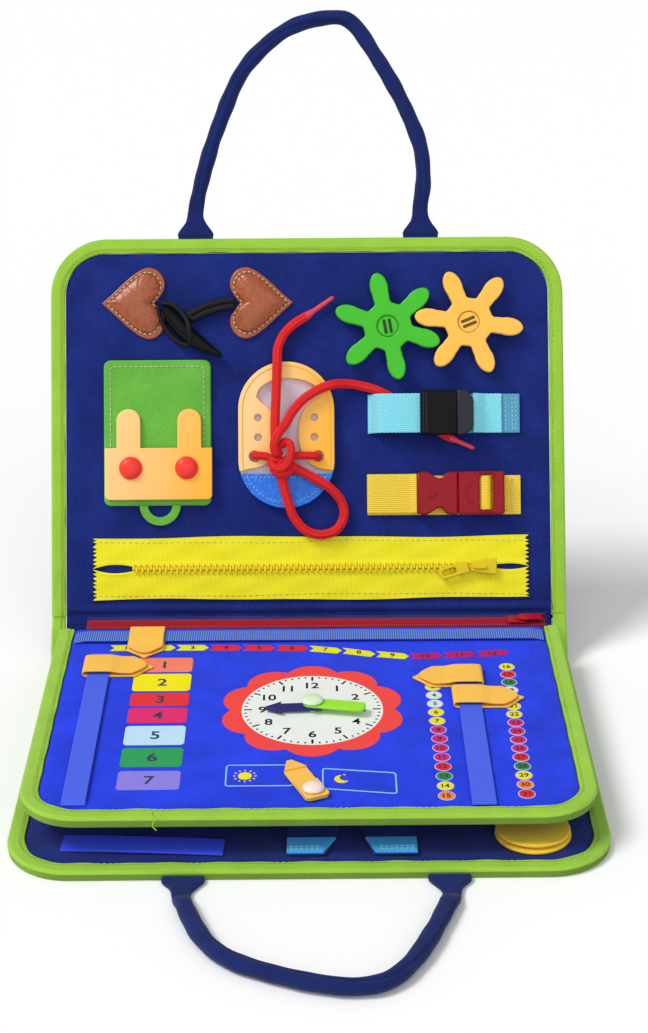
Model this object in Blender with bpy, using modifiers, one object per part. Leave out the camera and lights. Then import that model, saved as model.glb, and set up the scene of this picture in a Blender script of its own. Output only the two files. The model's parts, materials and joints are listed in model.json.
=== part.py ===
"""Quiet book: a folding felt activity book, open on a table with its front cover leaning back.

Lengths are in metres. X runs along the fold, -Y towards the reader, +Z up. The origin is on the
table under the middle of the back cover. The front cover, the spine and the page are modelled in
frames of their own: there X runs along the fold, Y away from the fold and Z out of the felt.
"""
import math

import bmesh
import bpy
from mathutils import Matrix, Vector

MM = 0.001
weld_distance = 0.002 * MM

# Covers and spine
cover_width = 300 * MM
front_cover_height = 222 * MM
back_cover_depth = front_cover_height - 3 * MM
back_cover_front = 111 * MM
cover_thickness = 5 * MM
cover_corner_radius = 33 * MM
binding_width = 8.4 * MM
binding_rise = 1 * MM
spine_width = 26 * MM
spine_lean_deg = 50
cover_lean_deg = 64.2
seat = 0.3 * MM
foam_edge = 0.45 * MM
plastic_edge = 0.45 * MM
hand_edge = 0.3 * MM
cap_rim_share = 0.25
fold_clearance = 0.15 * MM
binding_fold_clearance = 1.3 * MM

# Page
page_width = cover_width - 13 * MM
page_front = 98 * MM
page_back = 105.5 * MM
page_thickness = 4.9 * MM
page_top = 27.2 * MM
page_corner_radius = 30 * MM
page_binding_width = 8.8 * MM
page_hinge_back = 118.5 * MM
page_hinge_drop = 0.7 * MM
root_strip_thickness = 2 * MM
root_strip_width = page_width - 29 * MM
root_strip_inset = 1.1 * MM

# Handles
handle_radius = 4.2 * MM
tab_width = 21 * MM
tab_neck_width = 11 * MM
tab_length = 17 * MM
tab_thickness = 3 * MM
tab_roll_radius = 1.42 * MM
tab_gap = 0.4 * MM
top_handle_reach = 131 * MM
top_handle_left = 65 * MM
top_handle_right = 67 * MM
bottom_handle_reach = 91 * MM
bottom_handle_left = 61 * MM
bottom_handle_right = 68 * MM
handle_floor_clearance = 0.15 * MM

# Hearts and toggle
heart_length = 37 * MM
heart_height = 42 * MM
heart_edge_thickness = 1.5 * MM
heart_crown = 5.4 * MM
heart_left_tip = -120 * MM
heart_right_tip = -8.2 * MM
heart_level = 183.8 * MM
heart_centre_share = 0.55
heart_notch_share = 0.83
toggle_radius = 4 * MM
toggle_length = 44 * MM
toggle_pivot_x = -86.4 * MM
toggle_pivot_y = 183.1 * MM
toggle_lead = 4 * MM
toggle_angle_deg = -40
toggle_bow = 3 * MM
toggle_cord_radius = 1.35 * MM
toggle_loop_reach = 27 * MM
toggle_loop_drop = 7.5 * MM
toggle_loop_opening = 5 * MM
toggle_loop_notch = 3.4 * MM

# Backpack pocket
backpack_left = -118.9 * MM
backpack_bottom = 65.3 * MM
backpack_width = 62.4 * MM
backpack_height = 85.1 * MM
backpack_corner_radius = 4 * MM
backpack_thickness = 2.3 * MM
backpack_loop_radius = 12 * MM
backpack_loop_band = 4.9 * MM
backpack_loop_x = -86.3 * MM
backpack_loop_thickness = 1.84 * MM
flap_bottom = 68.5 * MM
flap_height = 30.3 * MM
flap_overhang = 0.7 * MM
flap_thickness = 2.5 * MM
tongue_width = 13.9 * MM
tongue_length = 22.7 * MM
tongue_left_x = -104.4 * MM
tongue_right_x = -69 * MM
snap_radius = 6.7 * MM
snap_height = 3.2 * MM
snap_left_x = -103.1 * MM
snap_right_x = -70.6 * MM
snap_level = 87 * MM

# Shoe
shoe_x = -12.5 * MM
shoe_bottom = 63.2 * MM
shoe_width = 56 * MM
shoe_height = 85.6 * MM
shoe_lining_thickness = 1.2 * MM
shoe_upper_thickness = 2.8 * MM
shoe_upper_start = 21.6 * MM
toe_height = 20 * MM
toe_thickness = 1.8 * MM
eyelet_radius = 2.2 * MM
laced_eyelet_radius = 3.2 * MM
eyelet_spread = 16.4 * MM
eyelet_levels = (116 * MM, 104.5 * MM)
laced_eyelet_spread = 18.6 * MM
laced_eyelet_level = 93.4 * MM

# Lace
lace_radius = 2.6 * MM
aglet_radius = 1.5 * MM
lace_step = 5 * MM
knot_x = -13.3 * MM
knot_y = 92.8 * MM
knot_radius = 4.6 * MM
knot_step = 3.6 * MM
knot_cross_rise = 1 * MM
knot_ball_rise = 0.5 * MM
lace_dip = 2.3 * MM

# Gears
gear_radius = 31.8 * MM
gear_thickness = 4.2 * MM
gear_rise = 3 * MM
gear_edge = 0.8 * MM
green_gear_x = 47 * MM
green_gear_y = 168.8 * MM
gear_spacing = 47.4 * MM
gear_line_deg = 2.6
gear_arms = 6
green_gear_phase_deg = -20.5
gear_bore_radius = 3.5 * MM
gear_recess_radius = 6.3 * MM
gear_recess_depth = 2 * MM
gear_post_radius = 3.2 * MM
gear_head_radius = 5.9 * MM
gear_head_thickness = 1.3 * MM
gear_foot_radius = 8 * MM
gear_foot_thickness = 1.6 * MM
head_slot_width = 1.4 * MM
head_slot_depth = 0.7 * MM
head_slot_length = 9.4 * MM

# Blue strap with its clasp
strap_width = 22.8 * MM
webbing_thickness = 1.3 * MM
blue_strap_left = 35.2 * MM
blue_strap_right = 123.7 * MM
blue_strap_level = 117.9 * MM
clasp_left = 65.6 * MM
clasp_length = 20.8 * MM
clasp_width = 25.9 * MM
clasp_thickness = 6 * MM
clasp_rise = 6.5 * MM
clasp_wall = 1.5 * MM
clasp_back_wall = 4 * MM
tongue_plug_length = 15.4 * MM
tongue_head_length = 9.3 * MM
tongue_head_radius = 7 * MM
tongue_clearance = 0.3 * MM
blue_base_length = 34 * MM
blue_tail_length = 17 * MM
blue_rise_length = 9 * MM
blue_foot_length = 5.2 * MM

# Yellow strap with its side-release buckle
yellow_strap_left = 34.3 * MM
yellow_strap_right = 123.8 * MM
yellow_strap_level = 71.2 * MM
socket_left = 63.6 * MM
socket_length = 23.1 * MM
buckle_width = 25 * MM
buckle_waist = 17 * MM
buckle_thickness = 6.6 * MM
buckle_rise = 1.9 * MM
buckle_wall = 1.3 * MM
socket_back_wall = 7 * MM
plug_body_length = 12.3 * MM
plug_window_length = 8.2 * MM
plug_bar_length = 6.4 * MM
plug_rail = 2.2 * MM
plug_arm_length = 13.4 * MM
plug_arm_width = 2.6 * MM
plug_guide_width = 4 * MM
plug_guide_length = 11 * MM
plug_clearance = 0.4 * MM
strap_fold_length = 4 * MM
strap_loop_rise_share = 0.45
strap_loop_crown_share = 0.7
buckle_side_shares = (
    (0.0, 0.94), (0.22, 1.0), (0.55, buckle_waist / buckle_width), (0.75, 0.96), (1.0, 1.0),
)

# Zips
zip_left = -125.7 * MM
zip_length = 254 * MM
zip_level = 28.5 * MM
zip_tape_width = 16.8 * MM
zip_tape_gap = 2.5 * MM
zip_tape_thickness = 1.1 * MM
zip_pinks = 7
zip_pink_depth = 2 * MM
zip_teeth = 58
zip_tooth_pitch = 3.4 * MM
zip_tooth_reach = 1.5 * MM
zip_tooth_root = 1.6 * MM
zip_tooth_clearance = 0.3 * MM
zip_tooth_thickness = 2.3 * MM
zip_teeth_left = -101.8 * MM
slider_length = 15 * MM
slider_width = 9 * MM
slider_nose_width = 5.6 * MM
slider_thickness = 3 * MM
slider_left = 94.3 * MM
pull_length = 18.6 * MM
pull_width = 6 * MM
pull_thickness = 1.6 * MM
pull_lug = 1.4 * MM
pull_near_radius = 2 * MM
pull_far_radius = 1.5 * MM
pull_hole_radius = 1.6 * MM

red_zip_length = page_width - 23 * MM
red_zip_x = 4 * MM
red_zip_width = 12.4 * MM
red_zip_thickness = 1.4 * MM
red_coil_width = 4 * MM
red_coil_rise = 0.5 * MM
red_slider_x = page_width / 2 - 27.5 * MM
red_slider_length = 9 * MM
red_slider_width = 7 * MM
red_slider_thickness = 1.3 * MM
red_pull_length = 20 * MM
red_pull_width = 7.4 * MM
red_pull_thickness = 1.2 * MM
red_pull_tilt_deg = 9
red_pull_hole_radius = 2.5 * MM

# Ribbons and pointers on the page
ribbon_width = 12 * MM
ribbon_thickness = 0.6 * MM
ribbon_rise = 1.4 * MM
ribbon_pad = 4 * MM
month_ribbon_length = page_width - 21 * MM
month_ribbon_level = 93.5 * MM
weekday_ribbon_x = -page_width / 2 + 28 * MM
weekday_ribbon_back = 74 * MM
weekday_ribbon_length = 160.5 * MM
date_ribbon_x = page_width / 2 - 57.7 * MM
date_ribbon_back = 61.5 * MM
date_ribbon_length = 150 * MM
foam_top = 1.8 * MM
pointer_slot_clearance = 0.3 * MM
pointer_length = 38 * MM
pointer_width = 21 * MM
pointer_side_wall = 2.6 * MM
pointer_point_length = 8.4 * MM
month_pointer_x = -page_width / 2 + 51.5 * MM
month_pointer_length = 34 * MM
weekday_pointer_y = 57 * MM
date_upper_y = 42.5 * MM
date_lower_y = 19 * MM

# Clock and day-part pointer
clock_x = 1.8 * MM
clock_y = 8.3 * MM
hand_thickness = 1.8 * MM
hand_gap = 0.5 * MM
hour_hand_length = 25 * MM
hour_hand_width = 6.4 * MM
arrow_width = 11 * MM
arrow_length = 8 * MM
hour_hand_angle_deg = 183
minute_hand_length = 28.5 * MM
minute_hand_width = 8.6 * MM
minute_hand_angle_deg = -5
hand_eye_radius = 5.2 * MM
clock_pin_radius = 2.2 * MM
clock_pin_clearance = 0.3 * MM
clock_cap_radius = 6 * MM
clock_cap_height = 2.6 * MM
clock_foot_radius = 6 * MM
clock_foot_thickness = 0.6 * MM
daypart_x = 2.2 * MM
daypart_y = -77 * MM
daypart_length = 38 * MM
daypart_width = 12.5 * MM
daypart_tail = 6.5 * MM
daypart_corner = 2.8 * MM
daypart_thickness = 2.6 * MM
daypart_angle_deg = 113
rivet_radius = 5.6 * MM
rivet_height = 3 * MM
rivet_pin_radius = 1.9 * MM

# Felt pieces inside the back cover
dungarees_x = 21 * MM
dungarees_front = -99.3 * MM
dungarees_width = 64 * MM
dungarees_height = 92 * MM
dungarees_thickness = 1.8 * MM
pouch_x = cover_width / 2 - 39 * MM
pouch_y = -80.3 * MM
pouch_radius = 19 * MM
pouch_front_radius = 18 * MM
pouch_layer = 1.9 * MM

# Outlines as shares of the sizes that they follow
heart_outline_shares = (
    (0.0, 0.0), (0.17, 0.27), (0.38, 0.62), (0.56, 0.87), (0.73, 1.0),
    (0.89, 0.91), (0.985, 0.66), (0.985, 0.4), (0.91, 0.16), (0.83, 0.0),
)
heart_ring_shares = ((1.0, 0.0), (1.0, 1.0), (0.87, 1.15), (0.8, 2.1), (0.62, 3.1), (0.34, 3.6))
gear_arm_shares = (
    (0.53, 0.142), (0.62, 0.127), (0.71, 0.14), (0.8, 0.16), (0.88, 0.163),
    (0.945, 0.135), (0.985, 0.078), (1.0, 0.0),
)
gear_valley_share = 0.44
gear_valley_side_share = 0.46
gear_valley_side_deg = 19
shoe_quarter_shares = (
    (-0.84, 0.262), (-0.46, 0.293), (-0.29, 0.37), (-0.245, 0.5), (-0.3, 0.65),
    (-0.54, 0.73), (-0.61, 0.77), (-0.5, 0.83), (-0.22, 0.876), (0.08, 0.884),
    (0.42, 0.864), (0.68, 0.81), (0.72, 0.775), (0.42, 0.7), (0.275, 0.59),
    (0.255, 0.46), (0.39, 0.335), (0.64, 0.273), (0.91, 0.257),
)
toggle_radius_shares = (0.35, 0.75, 0.97, 1.0, 0.82, 0.55, 0.22)
top_handle_shares = (
    (-1.0, 0.1), (-0.975, 0.18), (-0.9, 0.33), (-0.79, 0.5), (-0.59, 0.735), (-0.34, 0.88),
    (-0.07, 0.967), (0.26, 1.0), (0.43, 0.965), (0.61, 0.83), (0.79, 0.67), (0.93, 0.515),
    (1.01, 0.39), (1.03, 0.25), (1.0, 0.125),
)
bottom_handle_shares = (
    (-1.0, 0.17), (-0.94, 0.34), (-0.79, 0.6), (-0.58, 0.77), (-0.23, 0.9), (0.1, 0.98),
    (0.33, 1.0), (0.53, 0.945), (0.69, 0.79), (0.83, 0.56), (0.96, 0.29), (1.0, 0.17),
)
dungarees_shares = (
    (-0.5, 0.0), (-0.13, 0.0), (-0.03, 0.42), (0.03, 0.42), (0.13, 0.0), (0.5, 0.0), (0.5, 0.62),
    (0.34, 0.7), (0.34, 1.0), (-0.34, 1.0), (-0.34, 0.7), (-0.5, 0.62),
)

# Lace routes on the front cover, chosen by hand
lace_up_route = (
    (-18.9 * MM, 115.6 * MM, 7.9 * MM), (-18.3 * MM, 128 * MM, 7.7 * MM),
    (-17.7 * MM, 142 * MM, 7.8 * MM), (-17.5 * MM, 150 * MM, 7.6 * MM),
    (-17 * MM, 157 * MM, 4.4 * MM), (-13.8 * MM, 164.5 * MM, 3.1 * MM),
    (-8 * MM, 170.6 * MM, 3.1 * MM),
    (-0.5 * MM, 175.3 * MM, 3.1 * MM),
)
lace_up_tip = (15.8 * MM, 186.6 * MM, 3.1 * MM)
lace_right_route = (
    (-18.6 * MM, 99.6 * MM, 10.6 * MM), (-16.8 * MM, 105.4 * MM, 11.6 * MM),
    (-13 * MM, 111.8 * MM, 9.6 * MM), (-8.6 * MM, 119.4 * MM, 8 * MM),
    (-2.2 * MM, 126.4 * MM, 7.8 * MM), (7 * MM, 132.2 * MM, 7.8 * MM),
    (14.4 * MM, 134.8 * MM, 7.3 * MM), (21.4 * MM, 135.6 * MM, 4.5 * MM),
    (30 * MM, 134.6 * MM, 3.1 * MM), (41 * MM, 131.4 * MM, 3.1 * MM),
    (52 * MM, 125.4 * MM, 3.1 * MM),
    (64 * MM, 116.6 * MM, 3.1 * MM), (75 * MM, 108.6 * MM, 3.1 * MM),
    (83 * MM, 103.6 * MM, 3.1 * MM),
)
lace_right_tip = (97 * MM, 97.2 * MM, 3.1 * MM)
lace_loop_route = (
    (-16.4 * MM, 84.6 * MM, 8 * MM), (-14.4 * MM, 76.6 * MM, 7 * MM),
    (-11.6 * MM, 66.4 * MM, 6.6 * MM), (-8.2 * MM, 57.6 * MM, 5.5 * MM),
    (-1.6 * MM, 50.2 * MM, 4.6 * MM), (7 * MM, 47.6 * MM, 4.6 * MM),
    (15.6 * MM, 50 * MM, 4.6 * MM), (20.4 * MM, 57.2 * MM, 4 * MM),
    (19.6 * MM, 66 * MM, 4.4 * MM), (12.6 * MM, 74.6 * MM, 7 * MM),
    (1.6 * MM, 81.4 * MM, 7.4 * MM), (-7.2 * MM, 86.2 * MM, 8.4 * MM),
)

# Colours
navy_felt = ("navy_felt", (0.012, 0.022, 0.19), 0.95)
royal_felt = ("royal_felt", (0.022, 0.045, 0.5), 0.95)
lime_binding = ("lime_binding", (0.33, 0.75, 0.045), 0.8)
handle_cloth = ("handle_cloth", (0.012, 0.03, 0.27), 0.85)
brown_leather = ("brown_leather", (0.38, 0.1, 0.032), 0.45)
black_cord = ("black_cord", (0.006, 0.006, 0.008), 0.7)
black_horn = ("black_horn", (0.01, 0.009, 0.01), 0.35)
green_felt = ("green_felt", (0.13, 0.42, 0.07), 0.9)
orange_foam = ("orange_foam", (0.95, 0.53, 0.13), 0.7)
red_snap = ("red_snap", (0.86, 0.04, 0.025), 0.3)
lavender_lining = ("lavender_lining", (0.58, 0.5, 0.62), 0.9)
blue_leather = ("blue_leather", (0.01, 0.15, 0.7), 0.45)
red_lace = ("red_lace", (0.68, 0.03, 0.035), 0.7)
green_plastic = ("green_plastic", (0.06, 0.6, 0.03), 0.22)
yellow_plastic = ("yellow_plastic", (1.0, 0.52, 0.09), 0.22)
sky_webbing = ("sky_webbing", (0.16, 0.66, 0.84), 0.85)
black_plastic = ("black_plastic", (0.008, 0.009, 0.012), 0.35)
grey_plastic = ("grey_plastic", (0.06, 0.065, 0.08), 0.45)
gold_webbing = ("gold_webbing", (0.95, 0.55, 0.01), 0.85)
maroon_plastic = ("maroon_plastic", (0.3, 0.006, 0.03), 0.35)
yellow_tape = ("yellow_tape", (0.93, 0.82, 0.005), 0.85)
red_tape = ("red_tape", (0.6, 0.012, 0.03), 0.8)
red_metal = ("red_metal", (0.55, 0.01, 0.025), 0.35)
blue_ribbon = ("blue_ribbon", (0.07, 0.13, 0.75), 0.7)
navy_plastic = ("navy_plastic", (0.008, 0.015, 0.2), 0.3)
lime_plastic = ("lime_plastic", (0.35, 0.85, 0.03), 0.3)
pale_cap = ("pale_cap", (0.78, 0.9, 0.68), 0.3)
pink_rivet = ("pink_rivet", (0.95, 0.8, 0.76), 0.3)
sky_felt = ("sky_felt", (0.03, 0.22, 0.68), 0.9)
orange_felt = ("orange_felt", (0.98, 0.42, 0.015), 0.85)

parts = None
cutters = None


def clear_scene():
    """Remove every object and make the two collections."""
    global parts, cutters
    for old in list(bpy.data.objects):
        bpy.data.objects.remove(old, do_unlink=True)
    parts = bpy.data.collections.new("quiet_book")
    cutters = bpy.data.collections.new("cutters")
    bpy.context.scene.collection.children.link(parts)
    bpy.context.scene.collection.children.link(cutters)


def material(look):
    """The Principled material of one colour, made once."""
    name, colour, roughness = look
    found = bpy.data.materials.get(name)
    if found:
        return found
    made = bpy.data.materials.new(name)
    made.use_nodes = True
    shader = made.node_tree.nodes["Principled BSDF"]
    shader.inputs["Base Color"].default_value = (*colour, 1.0)
    shader.inputs["Roughness"].default_value = roughness
    shader.inputs["Metallic"].default_value = 0.0
    made.diffuse_color = (*colour, 1.0)
    return made


def frame_at(name, place, lean_deg=0):
    """An empty that carries pieces modelled flat and turns them about X."""
    empty = bpy.data.objects.new(name, None)
    empty.location = place
    empty.rotation_euler = (math.radians(lean_deg), 0, 0)
    parts.objects.link(empty)
    return empty


def place(name, data, look, frame, origin=(0, 0, 0), cutter=False):
    """Make an object of a mesh or curve, under its frame and with its material."""
    made = bpy.data.objects.new(name, data)
    made.location = origin
    made.parent = frame
    if cutter:
        made.hide_render = True
        made.display_type = "WIRE"
        cutters.objects.link(made)
    else:
        data.materials.append(material(look))
        parts.objects.link(made)
    return made


def relative(points, origin):
    return [tuple(p - o for p, o in zip(point, origin)) for point in points]


def welded(curve_object):
    """The mesh object of a curve, with its caps welded to its walls."""
    bpy.context.view_layer.update()
    shape = curve_object.evaluated_get(bpy.context.evaluated_depsgraph_get())
    mesh = bpy.data.meshes.new_from_object(shape)
    work = bmesh.new()
    work.from_mesh(mesh)
    bmesh.ops.remove_doubles(work, verts=work.verts, dist=weld_distance)
    bmesh.ops.recalc_face_normals(work, faces=work.faces)
    work.to_mesh(mesh)
    work.free()
    name, frame = curve_object.name, curve_object.parent
    made = bpy.data.objects.new("welded", mesh)
    made.location = curve_object.location
    made.rotation_euler = curve_object.rotation_euler
    made.parent = frame
    made.hide_render = curve_object.hide_render
    made.display_type = curve_object.display_type
    curve_object.users_collection[0].objects.link(made)
    bpy.data.objects.remove(curve_object, do_unlink=True)
    made.name = name
    return made


def plate(name, outlines, bottom, thickness, look, frame, origin=(0, 0, 0), edge=0, cutter=False):
    """A flat piece: closed outlines, the first the rim and the rest holes, raised by thickness."""
    curve = bpy.data.curves.new(name, "CURVE")
    curve.dimensions = "2D"
    curve.fill_mode = "BOTH"
    curve.extrude = thickness / 2 - edge
    curve.bevel_depth = edge
    curve.bevel_resolution = 1
    curve.offset = -edge
    for outline in outlines:
        spline = curve.splines.new("POLY")
        spline.points.add(len(outline) - 1)
        for point, (x, y) in zip(spline.points, outline):
            point.co = (x - origin[0], y - origin[1], 0, 1)
        spline.use_cyclic_u = True
    middle = (origin[0], origin[1], bottom + thickness / 2)
    made = welded(place(name, curve, look, frame, middle, cutter))
    lift = bottom + thickness / 2 - origin[2]
    made.data.transform(shift(0, 0, lift))
    made.location = origin
    return made


def shift(x, y, z):
    """A move as a matrix."""
    return Matrix.Translation((x, y, z))


def strip(name, profile, level, width, look, frame, origin=(0, 0, 0), cutter=False):
    """A band bent along X: a closed outline in X and Z, drawn out along Y about its level."""
    curve = bpy.data.curves.new(name, "CURVE")
    curve.dimensions = "2D"
    curve.fill_mode = "BOTH"
    curve.extrude = width / 2
    spline = curve.splines.new("POLY")
    spline.points.add(len(profile) - 1)
    for point, (x, z) in zip(spline.points, profile):
        point.co = (x - origin[0], z - origin[2], 0, 1)
    spline.use_cyclic_u = True
    made = place(name, curve, look, frame, (origin[0], level, origin[2]), cutter)
    made.rotation_euler = (math.radians(90), 0, 0)
    made = welded(made)
    made.data.transform(turn_about_x(90))
    made.rotation_euler = (0, 0, 0)
    made.data.transform(shift(0, level - origin[1], 0))
    made.location = origin
    return made


def turn_about_x(degrees):
    """A turn about X as a matrix."""
    return Matrix.Rotation(math.radians(degrees), 4, "X")


def box(name, low, high, look, frame, origin=(0, 0, 0), cutter=False):
    """A block between two corners."""
    mesh = bpy.data.meshes.new(name)
    work = bmesh.new()
    bmesh.ops.create_cube(work, size=1)
    size = [b - a for a, b in zip(low, high)]
    middle = [(a + b) / 2 - o for a, b, o in zip(low, high, origin)]
    bmesh.ops.scale(work, vec=size, verts=work.verts)
    bmesh.ops.translate(work, vec=middle, verts=work.verts)
    work.to_mesh(mesh)
    work.free()
    return place(name, mesh, look, frame, origin, cutter)


def cylinder(name, centre, radius, height, look, frame, origin=(0, 0, 0), axis="Z", cutter=False,
             sides=24):
    """A round bar about its centre, along Z or X."""
    mesh = bpy.data.meshes.new(name)
    work = bmesh.new()
    bmesh.ops.create_cone(
        work, cap_ends=True, segments=sides, radius1=radius, radius2=radius, depth=height
    )
    if axis == "X":
        bmesh.ops.rotate(work, matrix=Matrix.Rotation(math.radians(90), 3, "Y"), verts=work.verts)
    middle = [c - o for c, o in zip(centre, origin)]
    bmesh.ops.translate(work, vec=middle, verts=work.verts)
    work.to_mesh(mesh)
    work.free()
    return place(name, mesh, look, frame, origin, cutter)


def turned(name, profile, look, frame, origin=(0, 0, 0), steps=24):
    """A solid of revolution about Z; its profile runs from the top of the axis to the bottom."""
    mesh = bpy.data.meshes.new(name)
    points = [(radius, 0, height - origin[2]) for radius, height in profile]
    edges = [(i, i + 1) for i in range(len(points) - 1)]
    mesh.from_pydata(points, edges, [])
    made = place(name, mesh, look, frame, origin)
    screw = made.modifiers.new("turn", "SCREW")
    screw.axis = "Z"
    screw.angle = math.tau
    screw.steps = steps
    screw.render_steps = steps
    screw.use_merge_vertices = True
    screw.merge_threshold = weld_distance
    screw.use_smooth_shade = True
    return made


def tube(name, points, radius, look, frame, origin=(0, 0, 0), radii=None, resolution=2):
    """A round cord or bar along its points, with closed ends."""
    curve = bpy.data.curves.new(name, "CURVE")
    curve.dimensions = "3D"
    curve.bevel_depth = radius
    curve.bevel_resolution = resolution
    curve.use_fill_caps = True
    spline = curve.splines.new("POLY")
    spline.points.add(len(points) - 1)
    for index, (point, found) in enumerate(zip(spline.points, relative(points, origin))):
        point.co = (*found, 1)
        point.radius = radii[index] if radii else 1
    return place(name, curve, look, frame, origin)


def join(target, others, solver="EXACT"):
    """Unite other solids with the target."""
    for other in others:
        add_boolean(target, other, "UNION", solver)
    return target


def cut(target, others):
    """Cut other solids out of the target."""
    for other in others:
        add_boolean(target, other, "DIFFERENCE")
    return target


def add_boolean(target, other, operation, solver="EXACT"):
    """Give the target one Boolean with another solid."""
    modifier = target.modifiers.new(other.name, "BOOLEAN")
    modifier.operation = operation
    modifier.solver = solver
    modifier.object = other


def smooth(points, steps, closed=False):
    """Points of the Catmull-Rom curve through the given ones."""
    count = len(points)
    spans = count if closed else count - 1
    found = []
    for span in range(spans):
        if closed:
            near = [points[(span + k - 1) % count] for k in range(4)]
        else:
            near = [points[min(max(span + k - 1, 0), count - 1)] for k in range(4)]
        for step in range(steps):
            t = step / steps
            found.append(tuple(
                (2 * b + (c - a) * t + (2 * a - 5 * b + 4 * c - d) * t ** 2
                 + (3 * b - a - 3 * c + d) * t ** 3) / 2
                for a, b, c, d in zip(*near)
            ))
    if not closed:
        found.append(tuple(points[-1]))
    return found


def evenly(points, spacing):
    """The same path with a point about every spacing."""
    lengths = [0.0]
    for a, b in zip(points, points[1:]):
        lengths.append(lengths[-1] + math.dist(a, b))
    count = max(round(lengths[-1] / spacing), 2)
    found = []
    at = 0
    for step in range(count + 1):
        goal = lengths[-1] * step / count
        while at < len(points) - 2 and lengths[at + 1] < goal:
            at += 1
        share = (goal - lengths[at]) / (lengths[at + 1] - lengths[at])
        found.append(tuple(a + (b - a) * share for a, b in zip(points[at], points[at + 1])))
    return found


def arc(x, y, radius, start_deg, end_deg, steps=8):
    """Points of an arc, counter-clockwise where its end angle is the larger."""
    turn = (math.radians(end_deg) - math.radians(start_deg)) / steps
    first = math.radians(start_deg)
    return [
        (x + radius * math.cos(first + turn * k), y + radius * math.sin(first + turn * k))
        for k in range(steps + 1)
    ]


def circle(x, y, radius, steps=24):
    """Points of a whole circle."""
    return arc(x, y, radius, 0, 360, steps)[:-1]


def rectangle(left, right, near, far):
    """The four corners of a rectangle."""
    return [(left, near), (right, near), (right, far), (left, far)]


def rounded(left, right, near, far, near_radius, far_radius=0):
    """A rectangle whose near corners, and far ones if they have a radius, are round."""
    points = arc(left + near_radius, near + near_radius, near_radius, 180, 270)
    points += arc(right - near_radius, near + near_radius, near_radius, 270, 360)
    if far_radius:
        points += arc(right - far_radius, far - far_radius, far_radius, 0, 90)
        points += arc(left + far_radius, far - far_radius, far_radius, 90, 180)
    else:
        points += [(right, far), (left, far)]
    return points


def binding_outline(half_width, near, far, radius, band):
    """A band round three sides of a board; its open ends are at the far edge."""
    points = [(-half_width, far)]
    points += arc(-half_width + radius, near + radius, radius, 180, 270, 10)
    points += arc(half_width - radius, near + radius, radius, 270, 360, 10)
    points += [(half_width, far), (half_width - band, far)]
    inner = radius - band
    points += arc(half_width - radius, near + radius, inner, 360, 270, 10)
    points += arc(-half_width + radius, near + radius, inner, 270, 180, 10)
    points += [(-half_width + band, far)]
    return points


def mirrored(points):
    """The same outline with Y turned round, still wound the same way."""
    return [(x, -y) for x, y in reversed(points)]


def turned_outline(points, degrees, x=0, y=0):
    """An outline turned about its origin, then moved to x, y."""
    c, s = math.cos(math.radians(degrees)), math.sin(math.radians(degrees))
    return [(x + px * c - py * s, y + px * s + py * c) for px, py in points]


def back_cover(frame):
    """The royal-blue back board with its lime binding, flat on the table."""
    half = cover_width / 2
    fold = back_cover_depth - back_cover_front
    board = half - binding_width - seat
    plate(
        "back_cover_panel",
        [rounded(-board, board, -back_cover_front + binding_width + seat, fold - fold_clearance,
                 cover_corner_radius - binding_width - seat)],
        0, cover_thickness, royal_felt, frame,
    )
    plate(
        "back_cover_binding",
        [binding_outline(half, -back_cover_front, fold - binding_fold_clearance,
                         cover_corner_radius, binding_width)],
        0, cover_thickness + binding_rise, lime_binding, frame,
    )


def belly_pieces(frame):
    """The felt trousers and the round pouch sewn inside the back cover."""
    outline = [
        (dungarees_x + x * dungarees_width, dungarees_front + y * dungarees_height)
        for x, y in dungarees_shares
    ]
    top = cover_thickness + seat
    plate("dungarees", [outline], top, dungarees_thickness, sky_felt, frame)
    pouch = plate("round_pouch", [circle(pouch_x, pouch_y, pouch_radius)], top, pouch_layer,
                  orange_felt, frame)
    front = plate("pouch_front", [circle(pouch_x, pouch_y, pouch_front_radius)],
                  top + pouch_layer - seat, pouch_layer, orange_felt, frame,
                  edge=foam_edge, cutter=True)
    join(pouch, [front])


def spine(frame):
    """The spine board between the two folds, and its two bound ends."""
    half = cover_width / 2
    board = half - binding_width - seat
    plate("spine_panel",
          [rectangle(-board, board, fold_clearance, spine_width - fold_clearance)],
          -cover_thickness, cover_thickness, royal_felt, frame)
    for name, left in (("spine_binding_left", -half),
                       ("spine_binding_right", half - binding_width)):
        plate(name,
              [rectangle(left, left + binding_width, binding_fold_clearance,
                         spine_width - binding_fold_clearance)],
              -cover_thickness, cover_thickness + binding_rise, lime_binding, frame)


def front_cover(frame):
    """The navy front board and its lime binding."""
    half = cover_width / 2
    board = half - binding_width - seat
    board_outline = rounded(
        -board, board, -front_cover_height + binding_width + seat, -fold_clearance,
        cover_corner_radius - binding_width - seat,
    )
    band = binding_outline(half, -front_cover_height, -binding_fold_clearance,
                           cover_corner_radius, binding_width)
    plate("front_cover_panel", [mirrored(board_outline)], -cover_thickness, cover_thickness,
          navy_felt, frame)
    plate("front_cover_binding", [mirrored(band)], -cover_thickness,
          cover_thickness + binding_rise, lime_binding, frame)


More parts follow.
